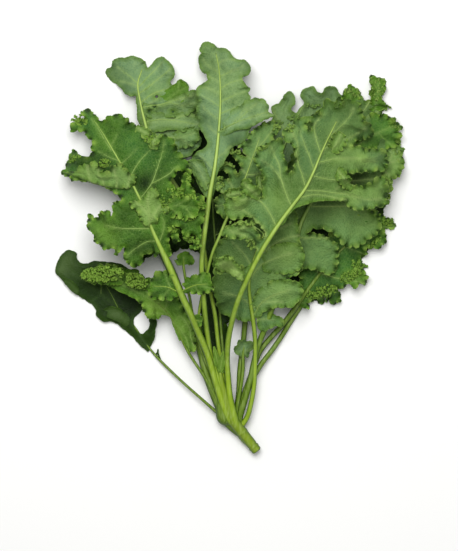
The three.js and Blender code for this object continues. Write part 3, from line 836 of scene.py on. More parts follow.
def curlSheet(patches, ground, rng):
    # florets heaped over elliptical patches of a blade: x, y, half length, half width, turn, count
    # and how far they are lifted off it
    centres, lifts = [], []
    for x, y, long, wide, turn, count, *lift in patches:
        lifts += [lift[0] if lift else 0] * count
        angle, reach = rng.uniform(0, 2 * np.pi, count), np.sqrt(rng.uniform(0, 1, count))
        u, v = reach * long * np.cos(angle), reach * wide * np.sin(angle)
        turn = math.radians(turn)
        centres.append(np.column_stack([x + u * math.cos(turn) - v * math.sin(turn),
                                        y + u * math.sin(turn) + v * math.cos(turn)]))
    centres = np.vstack(centres)
    heights = ground(centres[:, 0], centres[:, 1]) + lifts
    heights = heights + curl["lift"] * rng.uniform(*curl["lifts"], len(centres))
    sides, points = curl["sides"], curl["points"]
    around = np.arange(sides) * 2 * np.pi / sides
    share = np.repeat([0, *curl["rings"]], [1] + [sides] * len(curl["rings"]))
    angle = np.concatenate([[0], np.tile(around, len(curl["rings"]))])
    sheet, paintedShading, depth = [], [], []
    for (x, y), z in zip(centres, heights):
        size = curl["size"] * rng.uniform(*curl["sizes"])
        first, second, heading = rng.uniform(0, 2 * np.pi, 3)
        lean = curl["lean"] * rng.uniform(-1, 1)
        rise = curl["saddle"] * share * np.cos(2 * angle + first)
        rise = rise + rng.normal(0, curl["unevenRise"], len(share)) * share
        rise += curl["crimp"] * share ** 2 * np.cos(points * angle + second)
        edge = curl["lobes"] * np.cos(points * angle + second)
        reach = share * (1 + edge + rng.normal(0, curl["unevenEdge"], len(share)))
        u, v = reach * np.cos(angle), reach * np.sin(angle)
        u, rise = u * math.cos(lean) + rise * math.sin(lean), rise * math.cos(lean) - u * math.sin(lean)
        sheet.append(np.column_stack([x + size * (u * math.cos(heading) - v * math.sin(heading)),
                                      y + size * (u * math.sin(heading) + v * math.cos(heading)),
                                      z + size * rise]))
        # painted light and shade on the florets: lighter where they rise and a little everywhere, darker
        # where they dip
        paintedShading.append(curl["paintedShading"] * rise + curl["paintedShadingBase"])
        depth.append(1 + size * (1 - share))
    faces = []
    for k in range(sides):
        a, b = 1 + k, 1 + (k + 1) % sides
        faces += [(0, a, b), (a, a + sides, b + sides), (a, b + sides, b)]
    faces = np.vstack([np.array(faces) + k * len(share) for k in range(len(centres))])
    return np.vstack(sheet), faces, np.concatenate(paintedShading), np.concatenate(depth)


# how a lobe's midrib is spaced and narrows, and how the lobe rests on the main blade around it;
# and how a side vein narrows and stands up, by shares of its radius
lobeLie = dict(spacing=2.0, tip=0.25, neighbours=9, near=1.6, fade=8)
sideVein = dict(tip=0.35, stand=0.3)


def leafPiece(leaf, pile, seed):
    leaf = dict(plainLeaf, **leaf)
    rng = np.random.default_rng(seed)
    line, along = stemLine(leaf)
    pair = [finishes[leaf["back"]], finishes[leaf["front"]]]
    if leaf["face"] == "upper":
        pair.reverse()
    toViewer = 1 if leaf["face"] == "under" else -1
    pieces, sheets, tubes, lines = [], [], [], []
    parts = [(leaf, line, along)]
    for lobe in leaf["lobes"]:
        spine, reach = smoothLine(lobe["stem"], lobeLie["spacing"], 3)
        own = dict(plainLobe, frill=leaf["frill"], fresh=leaf["fresh"])
        parts.append((dict(own, **lobe), spine, reach))
    main = None

    def ground(x, y):
        # the height of the leaf's layer, or of its main blade where a lobe lies over that
        level = layerHeight(leaf["layer"], x, y, heap["lowest"])
        if main is None:
            return level
        near = [main.find_n((px, py, 0), lobeLie["neighbours"]) for px, py in zip(x, y)]
        heights = np.array([np.mean([mainSheet[k, 2] for _, k, _ in found]) for found in near])
        share = smoothStep(lobeLie["near"] - np.array([found[0][2] for found in near]) / lobeLie["fade"])
        return level + (heights - level) * share

    for part, partLine, partAlong in parts:
        if main is not None:
            radius = np.linspace(part["ribRadius"], lobeLie["tip"], len(partLine))
            height = ground(partLine[:, 0], partLine[:, 1]) + partLine[:, 2]
            partLine = np.column_stack([partLine[:, :2], height, radius])
        if part["rib"]:
            lines.append(np.vstack([rootLine(partLine), partLine]) if main is None else partLine)
        upwards = -toViewer if part["turned"] else toViewer
        blade = bladeSheet(part, partLine, partAlong, rng, leaf["grain"], upwards, ground)
        sheet, flat = blade["sheet"], blade["flat"]
        sheet[:, 2] = withinHeap(sheet[:, 2])
        pile.tuck(sheet)
        blade["marks"]["tone"] = np.full(len(sheet), float(part["fresh"]))
        sides = pair[::-1] if part["turned"] else pair
        pieces.append(sheetObject(leaf["name"], sheet, blade["faces"], blade["marks"], sides))
        tree = searchTree(flat)
        for path, size in blade["veins"]:
            radius = size * np.linspace(1, sideVein["tip"], len(path))
            lifted = liftVein(path, flat, sheet, tree)
            tubes.append(np.column_stack([lifted[:, :2], lifted[:, 2] + sideVein["stand"] * radius, radius]))
        sheets.append(sheet)
        if main is None:
            mainSheet = sheet.copy()
            main = searchTree(sheet[:, :2])
    if leaf["curls"]:
        sheet, faces, paintedShading, depth = curlSheet(leaf["curls"], ground, rng)
        sheet[:, 2] = withinHeap(sheet[:, 2])
        pile.tuck(sheet)
        marks = dict(margin=depth, vein=np.zeros(len(sheet)), paintedShading=paintedShading, shade=np.zeros(len(sheet)),
                     tone=np.full(len(sheet), leaf["curlTone"]))
        pieces.append(sheetObject(leaf["name"] + "_curls", sheet, faces, marks, pair))
    pieces.append(tubesObject(leaf["name"] + "_rib", lines, finishes[leaf["skin"]], 4))
    if tubes:
        pieces.append(tubesObject(leaf["name"] + "_veins", tubes, finishes[leaf["veinSkin"]], 1))
    for sheet in sheets:
        pile.cover(sheet, sheet[:, 2] - pile.under)
    for side in (-1, 0, 1):
        pile.cover(line[:, :2] + line[:, 3:4] * (side, 0), line[:, 2] - line[:, 3])
    pile.spread()
    piece = joinPieces(pieces, "kale_" + leaf["name"])
    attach(piece, "root")
    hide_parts(leaf["name"])
    return piece


leaves = [
    # the largest leaf, on top at the right with its waxy underside up
    dict(
        name="leaf_front_right", face="under", layer=1.0, radii=(4.4, 2.9, 0.6), bare=118, taper=1.5,
        camber=-4, hills=3, fold=3.6, curlTone=0.7,
        stem=[(234, 417), (230, 398), (228, 378), (227, 360), (228, 342), (231, 325), (237, 303),
              (248, 277), (262, 250), (278, 225), (292, 206), (304, 190), (313, 172), (320, 155),
              (328, 138), (336, 122)],
        left=[(243, 281), (238, 276), (231, 273), (224, 272), (218, 273, 1), (214, 269, 2), (216, 264, 3),
              (220, 260, 4), (226, 257, 4), (232, 258, 4), (236, 262, 3), (242, 265, 2), (248, 266, 0),
              (256, 252, -1), (252, 244, -2), (246, 240, -2), (238, 239, -1), (230, 239, 1),
              (224, 238, 3), (221, 234, 5), (225, 229, 6), (232, 225, 7), (240, 223, 7), (248, 225, 7),
              (254, 229, 6), (258, 233, 4), (260, 238, 1), (264, 237, 0), (261, 229, -2), (255, 222, -3),
              (248, 218, -3), (240, 220, -1), (232, 220, 1), (226, 216, 3), (224, 210, 5), (225, 203, 6),
              (230, 199, 7), (238, 198, 7), (240, 192, 6), (241, 185, 6), (245, 180, 6), (250, 181, 5),
              (252, 187, 4), (256, 194, 2), (260, 199, 0), (263, 195, -1), (262, 186, 0), (262, 178, 1),
              (258, 172, 3), (255, 166, 5), (254, 161, 6), (257, 156, 6), (258, 150, 6), (262, 146, 6),
              (268, 143, 7), (274, 142, 7), (280, 141, 6), (283, 147, 4), (284, 155, 2), (285, 164, 0),
              (287, 174, -1), (292, 169, -2), (295, 161, 0), (294, 153, 2), (290, 147, 3), (285, 142, 4),
              (282, 136, 5), (285, 131, 6), (290, 128, 6), (293, 123, 6), (299, 119, 5), (306, 120, 4),
              (311, 117, 4), (318, 113, 5), (322, 107, 6), (327, 101, 6), (332, 104, 5), (337, 108, 3)],
        right=[(281, 226, 0, -0.7), (288, 216, 0, -0.7), (294, 210, 0, -0.8), (303, 206, 0, -0.8),
               (312, 203.5, 0, -0.8), (322, 202, 0, -0.8), (333, 201.5, 0, -0.6), (342, 203, 1),
               (348, 208, 2), (355, 211, 2), (362, 211, 2), (370, 210, 3), (376, 207, 3), (383, 206, 3),
               (388, 202, 3), (386, 196, 3), (388, 190, 3), (385, 183, 3), (380, 177, 3), (373, 181, 2),
               (366, 184, 1), (358, 186, 0), (349, 186, -1), (341, 184, -1), (339, 178, 0), (345, 173, 1),
               (354, 175, 1), (364, 173, 2), (374, 171, 2), (382, 171, 3), (388, 166, 4), (386, 158, 4),
               (382, 152, 4), (374, 150, 4), (366, 148, 3), (358, 147, 1), (350, 147, 0), (357, 142, 1),
               (366, 141, 3), (371, 135, 4), (370, 127, 4), (364, 121, 4), (362, 112, 4), (355, 104, 4),
               (346, 101, 4), (340, 104, 3)],
        gaps=[[(306, 124), (309, 123), (311, 127), (310, 131), (307, 130)]],
        veins=[[(243, 280), (234, 271), (226, 267), (219, 267)], [(257, 251), (251, 242), (242, 235),
               (230, 232)], [(266, 238), (262, 228), (255, 220), (246, 213), (235, 208)], [(264, 238),
               (258, 230), (248, 228), (238, 230)], [(275, 226), (268, 212), (262, 204), (250, 200),
               (240, 202)], [(262, 204), (255, 196), (248, 188)], [(290, 206), (284, 192), (280, 180),
               (278, 168), (274, 155), (270, 147)], [(280, 180), (272, 170), (262, 162)], [(304, 187),
               (300, 172), (297, 158), (296, 145), (291, 134)], [(313, 172), (309, 158), (303, 145),
               (299, 132)], [(320, 155), (316, 142), (314, 128), (319, 116)], [(297, 199), (312, 196),
               (328, 197), (344, 202)], [(301, 192), (320, 192), (342, 195), (365, 200), (380, 199)],
               [(311, 177), (328, 180), (345, 182), (335, 190)], [(317, 164), (332, 160), (350, 160),
               (375, 161)], [(322, 151), (335, 143), (350, 138), (364, 130)], [(328, 139), (339, 128),
               (349, 117), (352, 110)]],
        paintedLightAndTints=[(236, 206, 12, 0.5), (246, 186, 7, 0.35), (270, 150, 10, 0.3), (291, 134, 9, 0.4),
                (322, 112, 10, 0.05), (350, 110, 15, -0.45), (368, 130, 10, -0.4), (352, 194, 15, 0.5),
                (376, 197, 9, 0.4), (362, 158, 9, 0.75), (336, 158, 10, 0.35), (225, 264, 8, 0.5),
                (240, 230, 9, 0.3), (370, 146, 12, -0.5), (278, 200, 13, 0.3), (345, 178, 7, -0.5),
                (335, 103, 8, -0.1), (302, 172, 24, -0.3), (320, 130, 16, -0.3)],
        curls=[(243, 224, 13, 2.2, 3, 36), (251, 245, 6, 3.4, 50, 22), (226, 259, 9, 1.8, 4, 14),
               (340, 176, 6, 3, 20, 12), (289, 130, 4, 4, 0, 10), (262, 149, 5, 3, -20, 10)],
        lobes=[
            dict(stem=[(330, 152, 1), (336, 144, 3), (341, 134, 3)], rib=False, frill=1.7, coarse=0.7,
                 fresh=0.4,
                 left=[(327, 148, 1), (330, 140, 3), (336, 132, 3)],
                 right=[(335, 155, 1), (343, 149, 3), (346, 139, 3)]),
            dict(stem=[(354, 187, 1), (345, 181, 3), (337, 172, 3)], rib=False, frill=1.9, coarse=0.6,
                 fresh=0.5,
                 left=[(351, 181, 2), (345, 173, 3), (339, 168, 3)],
                 right=[(350, 191, 1), (340, 187, 3), (334, 178, 3)]),
            # its fresh tone is partly the lobe's own yellow green and partly painted light, since it faces
            # away from the lamp
            dict(stem=[(244, 279, 1), (233, 270, 4), (220, 264, 4)], rib=False, frill=1.5, coarse=0.6,
                 fresh=0.9, arch=2,
                 left=[(242, 282, 1), (234, 277, 3), (226, 272, 4), (218, 271, 4)],
                 right=[(245, 274, 1), (238, 265, 3), (230, 259, 4), (221, 258, 4), (216, 262, 4)],
                 veins=[[(243, 278), (236, 271), (230, 263)], [(242, 279), (232, 273), (222, 267)],
                        [(240, 278), (232, 269), (224, 262)]]),
            dict(stem=[(260, 198, 1), (250, 191, 3), (244, 184, 3)], rib=False, frill=1.1, coarse=0.7,
                 fresh=0.5,
                 left=[(257, 202, 1), (247, 197, 3), (240, 189, 3)],
                 right=[(261, 192, 1), (253, 186, 3), (247, 180, 3)]),
        ],
    ),
    # the other large leaf on top, its green face up, with leaflets low on its stem
    dict(
        name="leaf_front_left", face="upper", layer=0.93, radii=(4.4, 3.5, 0.5), bare=165, taper=0.5,
        camber=4,
        stem=[(226, 412), (219, 392), (213, 372), (207, 352), (199, 333), (191, 314), (183, 297),
              (175, 278), (168, 262), (160, 245), (152, 227), (147, 213), (141, 200), (133, 184),
              (122, 165), (112, 148), (103, 133), (94, 120)],
        left=[(162, 251), (157, 257, -4), (149, 254, -4), (143, 258, -4), (140, 265, -4), (133, 267, -4),
              (126, 262, -4), (125, 254, -3), (127, 247, 0), (121, 251, 1), (119, 256, 1), (115, 255, 1),
              (114, 249, 1), (106, 250, 1), (101, 245, 1), (94, 241, 1), (95, 235, 1), (90, 230, 1),
              (88, 224, 1), (88, 219, 1), (91, 215, 1), (95, 218, 1), (99, 218, 1), (100, 212, 1),
              (105, 211, 1), (110, 212, 1), (112, 218, 1), (115, 213, 1), (113, 207, 1), (114, 202, 1),
              (122, 200), (119, 195), (112, 191), (104, 188), (96, 184), (88, 182), (80, 181), (74, 182),
              (68, 178), (63, 174), (67, 168), (68, 161), (70, 154), (74, 150), (79, 155), (84, 158),
              (91, 155), (92, 149), (93, 144), (89, 138), (85, 134), (78, 132), (71, 131), (73, 124),
              (78, 120), (83, 117), (81, 112), (86, 110), (91, 112)],
        right=[(171, 256), (171, 248, 1), (171, 239, 2), (171, 231, 3), (176, 227, 5), (181, 230, 5),
               (184, 237, 5), (190, 236, 5), (194, 242, 4), (190, 247, 3), (197, 250, 3), (201, 243, 3),
               (203, 235, 3), (200, 228, 2), (203, 221, 4), (206, 213, 4), (206, 204, 4), (202, 198, 4),
               (196, 194, 3), (193, 187, 4), (192, 178, 4), (190, 171, 5), (186, 164, 5), (183, 157, 4),
               (178, 149, 3), (173, 142, 3), (166, 138, 4), (160, 138, 5), (153, 137, 5), (146, 135, 4),
               (141, 130, 4), (134, 124, 3), (128, 119, 2), (120, 117, 2), (109, 117, 2), (102, 121, 1),
               (97, 117, 2), (93, 113, 2)],
        gaps=[[(172, 186), (173, 180), (177, 177), (180, 173), (184, 172), (186, 175), (182, 179),
              (181, 186), (177, 189)], [(172, 229), (177, 228), (181, 232), (180, 238), (181, 242),
              (177, 243), (173, 240), (171, 234)], [(187, 238), (191, 236), (195, 239), (193, 242),
              (189, 242)]],
        veins=[[(112, 151), (106, 142), (100, 134)], [(120, 162), (110, 158), (99, 152)], [(122, 165),
               (130, 158), (137, 150)], [(112, 151), (114, 143), (118, 135)], [(141, 200), (152, 185),
               (158, 170), (162, 158), (165, 143)], [(152, 185), (166, 178), (180, 168)], [(150, 229),
               (135, 229), (120, 229), (105, 226)], [(160, 244), (163, 235), (165, 226), (163, 216)],
               [(146, 212), (165, 206), (185, 205), (197, 204)], [(133, 184), (120, 183), (105, 181),
               (88, 180)], [(157, 241), (146, 243), (135, 250), (128, 256)], [(105, 140), (98, 128),
               (92, 120)], [(130, 180), (138, 166), (146, 156), (152, 150)]],
        paintedLightAndTints=[(145, 184, 9, -0.9), (84, 160, 10, -0.6), (104, 166, 9, -0.9), (142, 250, 12, -0.6),
                (130, 124, 9, -0.45), (128, 212, 10, -0.5), (98, 228, 16, 0.3), (84, 125, 9, -0.2),
                (172, 160, 16, -0.3), (160, 176, 12, -0.3), (190, 214, 16, -0.15), (110, 240, 14, 0.25)],
        curls=[(185, 197, 14, 2.2, 5, 34), (184, 218, 12, 2.4, 4, 30), (202, 206, 2.4, 8, 0, 14),
               (174, 230, 5, 3, 20, 16), (192, 240, 8, 3, 10, 28), (198, 246, 4, 4, 0, 12),
               (188, 182, 2.4, 8, 10, 16), (176, 191, 8, 2, 0, 16), (153, 142, 7, 5, 20, 40),
               (80, 121, 8, 5, 15, 34), (76, 160, 6, 4, -30, 16), (106, 164, 6, 4, 0, 22),
               (164, 204, 2.4, 9, -10, 14)],
        lobes=[
            dict(stem=[(151, 229, 1), (150, 218, 4), (149, 206, 5), (150, 194, 4)], turned=True,
                 rib=False, arch=3, fresh=0.55,
                 left=[(147, 227, 1), (141, 222, 2), (139, 214, 3), (133, 209, 4), (130, 203, 4),
                       (135, 201, 4), (141, 201, 4), (146, 197, 4), (150, 191, 4)],
                 right=[(157, 224, 2), (162, 218, 3), (168, 213, 3), (169, 208, 4), (164, 204, 4),
                        (161, 198, 4), (159, 192, 4), (155, 188, 4)],
                 veins=[[(151, 226), (150, 212), (148, 200)], [(151, 222), (157, 212), (162, 206)],
                        [(150, 216), (143, 208), (137, 202)]]),
            dict(stem=[(124, 195, 0), (112, 191, 0), (98, 185, 0), (80, 181, 0), (62, 175, 0)],
                 turned=True, rib=False, arch=6, fresh=0.35, rim=0.8, frill=1.3,
                 right=[(131, 189, 3), (136, 184, 4), (137, 177, 5), (130, 173, 5), (124, 166, 5),
                        (118, 165, 5), (112, 169, 5), (105, 174, 5), (103, 168, 5), (97, 164, 5),
                        (91, 164, 5), (82, 168, 4), (76, 172, 3), (69, 172, 2), (62, 172, 1)],
                 veins=[[(118, 192), (118, 182), (116, 172)], [(106, 188), (103, 179), (99, 170)],
                        [(92, 183), (90, 176), (89, 168)], [(128, 190), (130, 182), (131, 176)]]),
            dict(stem=[(169, 208, 2), (178, 207, 3), (192, 208, 2), (203, 210, 1)], rib=False, arch=2,
                 frill=1.3,
                 left=[(169, 204, 1), (171, 199, 3), (176, 196, 4), (184, 198, 4), (192, 197, 4),
                       (199, 201, 3)],
                 right=[(170, 212, 2), (172, 218, 4), (177, 217, 4), (184, 221, 4), (191, 219, 4),
                        (198, 216, 3)],
                 veins=[[(165, 208), (172, 203), (176, 198)], [(176, 207), (185, 202), (190, 199)],
                        [(170, 208), (175, 213), (178, 217)], [(184, 208), (190, 213), (192, 217)]]),
            dict(stem=[(160, 136, 3), (155, 143, 4), (154, 150, 3)], turned=True, rib=False, fresh=0.6,
                 frill=1.4,
                 left=[(164, 136, 2), (160, 144, 3), (158, 151, 3)],
                 right=[(154, 134, 2), (149, 141, 3), (150, 149, 3)]),
            dict(stem=[(150, 137, 3), (144, 133, 4), (138, 129, 3)], turned=True, rib=False, fresh=0.5,
                 frill=1.4,
                 left=[(152, 133, 2), (146, 129, 3), (139, 126, 3)],
                 right=[(148, 140, 2), (141, 137, 3), (136, 132, 3)]),
            dict(stem=[(181, 293, 1), (168, 287, 2), (154, 286, 2)], veinStep=9,
                 left=[(178, 297, 1), (172, 299, 1), (160, 300, 1), (150, 296, 1), (150, 289, 1)],
                 right=[(180, 284, 1), (172, 274, 1), (162, 271, 1), (152, 278, 1), (151, 284, 1)]),
            dict(stem=[(182, 291, 1), (196, 285, 2), (207, 284, 2)], veinStep=9,
                 left=[(183, 284, 1), (186, 279, 1), (198, 274, 1), (209, 273, 1), (211, 279, 1)],
                 right=[(186, 293, 1), (188, 293, 1), (203, 294, 1), (215, 289, 1), (213, 284, 1)]),
            dict(stem=[(193, 319, 0), (201, 321, 1)], veinStep=5,
                 left=[(195, 315, 1), (202, 316, 1)],
                 right=[(194, 325, 1), (201, 326, 1)]),
        ],
    ),
    # the tall smooth one in the middle, underside up, waxy and pale
    dict(
        name="leaf_centre", face="under", back="pale", layer=0.82, radii=(3.6, 2.7, 0.5), bare=206,
        frill=0.4, billow=1.3, camber=-3, veinStep=9, rim=-0.5, fold=4.2, hills=3,
        stem=[(228, 407), (222, 390), (212, 360), (207, 330), (204, 300), (202, 270), (203, 250),
              (206, 225), (210, 196), (215, 168), (219, 131), (220.5, 99), (219, 70), (216, 54)],
        left=[(206, 199), (201, 192), (197, 182), (194, 170), (192, 160), (196, 153), (203, 150),
              (208, 147), (207, 140), (202, 134), (198, 128), (200, 122), (199, 116), (197, 110),
              (197, 102), (197, 95), (200, 88), (205, 84), (206, 78), (203, 72), (200, 65), (199, 56),
              (200, 49), (204, 45), (210, 44)],
        right=[(212, 197), (216, 184), (220, 171), (225, 160), (231, 152), (238, 146), (246, 139),
               (250, 132), (256, 124), (256, 116), (251, 108), (249, 103), (250, 98), (247, 94),
               (250, 90), (246, 85), (243, 79), (249, 74), (249, 66), (244, 59), (237, 59), (232, 57),
               (227, 51), (221, 48), (215, 45)],
        veins=[[(211, 190), (206, 182), (201, 170)], [(214, 172), (208, 164), (200, 157)], [(216, 160),
               (224, 154), (232, 149)], [(219, 136), (213, 132), (208, 127)], [(219.5, 122), (212, 115),
               (204, 109)], [(220, 108), (212, 103), (203, 97)], [(220.5, 96), (213, 92), (204, 90)],
               [(220, 84), (212, 80), (208, 78)], [(219, 74), (211, 68), (204, 61)], [(220, 104),
               (231, 98), (244, 93)], [(220.5, 90), (232, 83), (244, 80)], [(220, 78), (231, 72),
               (243, 67)], [(218, 64), (226, 60), (233, 60)], [(219, 116), (232, 110), (246, 106)]],
        paintedLightAndTints=[(236, 142, 11, -0.65), (203, 119, 6, -0.6), (212, 130, 12, -0.25), (202, 60, 6, -0.5),
                (248, 68, 6, -0.45), (222, 50, 6, -0.2), (201, 104, 5, -0.25), (204, 186, 8, -0.2),
                (247, 90, 4, -0.25)],
        lobes=[
            dict(stem=[(218, 133, -3), (236, 125, 3), (254, 119, 5), (272, 116, 4)], rib=False, arch=3,
                 veinStep=9, frill=0.5,
                 left=[(219, 123, -4, -0.9), (232, 111, -1, -0.6), (241, 105, 1), (249, 101, 3),
                       (257, 99, 4), (264, 101, 4), (268, 107, 4), (268, 113, 4)],
                 right=[(219, 140, -4, -0.9), (236, 132, 2, -0.6), (248, 130, 3, -0.6),
                        (258, 125, 4, -0.6), (266, 121, 4), (274, 117, 3)],
                 veins=[[(221, 131), (238, 123), (256, 117), (268, 113)], [(236, 124), (246, 114),
                        (256, 105)], [(232, 126), (240, 116), (246, 110)]]),
            dict(stem=[(209, 190, 0), (203, 176, 2), (195, 164, 2)], rib=False, arch=2, frill=0.5,
                 rim=0.4,
                 left=[(206, 193, 0), (199, 184, 2), (192, 172, 3), (187, 162, 3)],
                 right=[(211, 184, 0), (208, 172, 1), (202, 162, 2)]),
        ],
    ),
    # curly leaf that shows in the gap between the centre and the front right leaf
    dict(
        name="leaf_inner_centre", face="under", layer=0.7, radii=(2.6, 1.6, 0.3), bare=212, taper=0.4,
        fresh=0.15, camber=-2, frill=1.3, curlTone=0.8,
        stem=[(225, 404), (219, 388), (210, 364), (203, 342), (199, 318), (202, 297), (208, 270),
              (213, 252), (219, 238), (226, 221), (234, 204), (243, 184), (252, 160), (259, 140)],
        left=[(222, 218), (216, 212), (214, 204, 1), (217, 198, 3), (223, 195, 4), (217, 192, 4),
              (214, 187, 5), (215, 181, 5), (220, 178, 4), (225, 181, 2), (229, 177, 1), (224, 173, 3),
              (219, 171, 4), (222, 166, 4), (229, 164, 4), (235, 169, 3), (238, 173, 1), (240, 168, 0),
              (235, 160, 2), (230, 154, 4), (236, 152, 4), (241, 156, 3), (245, 158, 0), (243, 151, 2),
              (238, 148, 4), (241, 143, 5), (247, 142, 4), (247, 137, 4), (251, 133, 5), (256, 128, 5),
              (258, 126, 4)],
        right=[(240, 214), (256, 205), (268, 192), (278, 176), (283, 158), (280, 146), (272, 140),
               (278, 134, 2), (279, 127, 3), (274, 122, 3), (268, 124, 3), (262, 124, 4)],
        paintedLightAndTints=[(240, 186, 10, -0.5), (252, 180, 10, -0.7), (225, 200, 8, -0.4)],
        curls=[(237, 194, 13, 4, 2, 56), (220, 184, 5, 6, 0, 20), (260, 186, 2.6, 7, 5, 18),
               (228, 166, 6, 2, 10, 12), (236, 153, 5, 2, 10, 10), (276, 130, 5, 4, 0, 12)],
        lobes=[
            dict(stem=[(252, 197, 4), (244, 195, 5), (234, 195, 5), (225, 197, 4)], rib=False, frill=1.8,
                 fresh=0.7, coarse=0.6,
                 left=[(251, 202, 3), (242, 201, 4), (233, 201, 4), (226, 202, 3)],
                 right=[(250, 190, 4), (242, 189, 5), (233, 190, 5), (225, 193, 4)]),
            dict(stem=[(262, 196, 3), (260, 188, 4), (259, 178, 3)], rib=False, frill=1.5, fresh=0.6,
                 coarse=0.6,
                 left=[(257, 193, 2), (256, 185, 3), (256, 178, 3)],
                 right=[(265, 192, 2), (264, 184, 3), (262, 176, 3)]),
        ],
    ),
    # smooth leaf under the front right one, with rounded lobes
    dict(
        name="leaf_inner_right", face="under", layer=0.58, radii=(3.0, 2.3, 0.7), bare=105, frill=0.6,
        pucker=0.7, camber=-2, veinStep=10,
        stem=[(241, 426), (247, 417), (251, 403), (254, 385), (255, 362), (255, 340), (253, 320),
              (250, 300), (249, 282), (253, 262), (261, 240), (270, 222), (279, 206)],
        left=[(247, 321), (238, 321), (231, 317), (222, 312), (215, 305), (216, 297), (212, 288),
              (213, 276), (212, 262), (217, 246), (229, 233), (243, 223), (258, 210), (270, 199)],
        right=[(256, 318), (259, 329), (266, 331), (275, 327), (283, 325), (282, 319), (274, 313),
               (271, 308), (280, 307), (289, 306), (297, 302), (302, 294), (302, 286), (296, 281),
               (286, 279), (291, 277), (300, 272), (303, 262), (301, 250), (299, 238), (298, 226),
               (295, 212), (288, 201)],
        veins=[[(250, 278), (262, 264), (275, 255), (290, 248)], [(252, 264), (266, 250), (282, 240),
               (298, 236)], [(251, 310), (262, 300), (278, 292), (296, 288)], [(253, 322), (262, 320),
               (274, 320)], [(262, 241), (276, 230), (290, 224)], [(249, 288), (240, 276), (230, 264)],
               [(250, 304), (238, 296), (224, 292)], [(252, 266), (242, 252), (232, 242)]],
        paintedLightAndTints=[(226, 290, 20, -0.3), (258, 230, 16, -0.35), (276, 292, 20, 0.5), (286, 262, 16, 0.4),
                (272, 318, 12, -0.1), (288, 278, 6, -0.6), (272, 309, 6, -0.6), (216, 310, 8, -0.4)],
        lobes=[
            dict(stem=[(262, 264, 0), (276, 258, 2), (292, 254, 3)], rib=False, arch=1.5, frill=0.5,
                 fresh=0.1, pucker=0.7,
                 left=[(260, 256, 0), (270, 247, 1), (282, 243, 2), (294, 243, 3), (302, 248, 3)],
                 right=[(264, 272, 0), (276, 274, 2), (288, 274, 3), (299, 270, 3), (304, 261, 3)],
                 veins=[[(262, 264), (276, 258), (290, 253)]],
                 paintedLightAndTints=[(286, 256, 16, 0.35)]),
            dict(stem=[(252, 316, 0), (264, 300, 2), (282, 292, 3)], rib=False, arch=1.5, frill=0.5,
                 fresh=0.15, pucker=0.7,
                 left=[(250, 306, 0), (256, 292, 1), (266, 283, 2), (278, 279, 3), (290, 280, 3),
                       (299, 284, 3)],
                 right=[(256, 318, 0), (266, 310, 2), (278, 308, 3), (290, 307, 3), (299, 301, 3),
                        (303, 292, 3)],
                 veins=[[(253, 315), (262, 302), (276, 294), (290, 290)], [(262, 302), (270, 302),
                        (282, 302)]],
                 paintedLightAndTints=[(280, 290, 18, 0.4)]),
        ],
    ),
    # narrow leaf at the lower left, crowded with curls
    dict(
        name="leaf_curly_left", face="upper", skin="shaded", layer=0.5, radii=(2.6, 1.4, 0.3), bare=64,
        taper=0.4, frill=1.1, fresh=0.15, camber=2, curlTone=1.0,
        stem=[(219, 404), (211, 388), (203, 374), (196, 364), (189, 353), (183, 342), (178, 331),
              (170, 316), (158, 303), (142, 294), (126, 286), (108, 279), (94, 276)],
        left=[(180, 341), (176, 333), (173, 326), (170, 317), (163, 315), (158, 320), (151, 319),
              (146, 314), (144, 307), (136, 300, 2, -0.7), (127, 295, 3, -0.8), (117, 290, 3, -0.8),
              (109, 286, 2, -0.4), (104, 286), (97, 284), (88, 281)],
        right=[(192, 351), (197, 345), (197, 336), (195, 326), (189, 314), (181, 301), (172, 290),
               (166, 279), (157, 279), (150, 279), (143, 276), (137, 269), (129, 270), (122, 268),
               (112, 264), (102, 265), (94, 268), (84, 273)],
        veins=[[(190, 352), (186, 338), (178, 326)], [(193, 346), (190, 330), (182, 316)], [(195, 340),
               (194, 326), (186, 310)], [(178, 331), (184, 326)], [(174, 322), (180, 315)], [(170, 316),
               (162, 313), (152, 313)], [(168, 313), (160, 307), (150, 306)], [(165, 310), (168, 300),
               (168, 290)], [(150, 298), (146, 288), (142, 280)], [(134, 290), (128, 282)]],
        paintedLightAndTints=[(157, 312, 11, 0.9), (168, 300, 6, -0.5), (110, 274, 26, -0.5), (138, 279, 14, -0.5),
                (128, 290, 12, 0.3), (182, 326, 16, 0.6), (152, 304, 10, 0.6)],
        curls=[(103, 274, 21, 7.5, -3, 210, 5), (137, 281, 12, 7, 20, 110, 5),
               (156, 297, 5, 3, 0, 14, 2)],
        lobes=[
            dict(stem=[(124, 281, 2), (112, 276, 4), (98, 274, 4), (84, 274, 2)], rib=False, frill=2.0,
                 coarse=0.4,
                 left=[(122, 285, 2), (110, 285, 4), (98, 283, 4), (88, 281, 2)],
                 right=[(125, 275, 3), (120, 268, 4), (112, 265, 5), (103, 266, 5), (94, 268, 4),
                        (87, 271, 2)],
                 paintedLightAndTints=[(104, 275, 18, -0.6)]),
            dict(stem=[(152, 286, 2), (142, 284, 4), (131, 281, 2)], rib=False, frill=2.0, coarse=0.4,
                 left=[(151, 290, 2), (141, 289, 3), (131, 286, 2)],
                 right=[(152, 282, 2), (143, 279, 4), (132, 276, 3)],
                 paintedLightAndTints=[(142, 284, 10, -0.5)]),
            dict(stem=[(140, 276, 3), (133, 274, 4), (127, 274, 3)], rib=False, frill=2.0, coarse=0.4,
                 left=[(140, 279, 2), (133, 279, 3), (127, 278, 2)],
                 right=[(140, 271, 2), (133, 270, 3), (127, 270, 2)],
                 paintedLightAndTints=[(134, 275, 8, -0.5)]),
        ],
    ),
    # large leaf behind the front right one, which makes the curly right-hand side
    dict(
        name="leaf_back_right", face="under", skin="shaded", layer=0.43, radii=(3.8, 3.0, 0.7), bare=163,
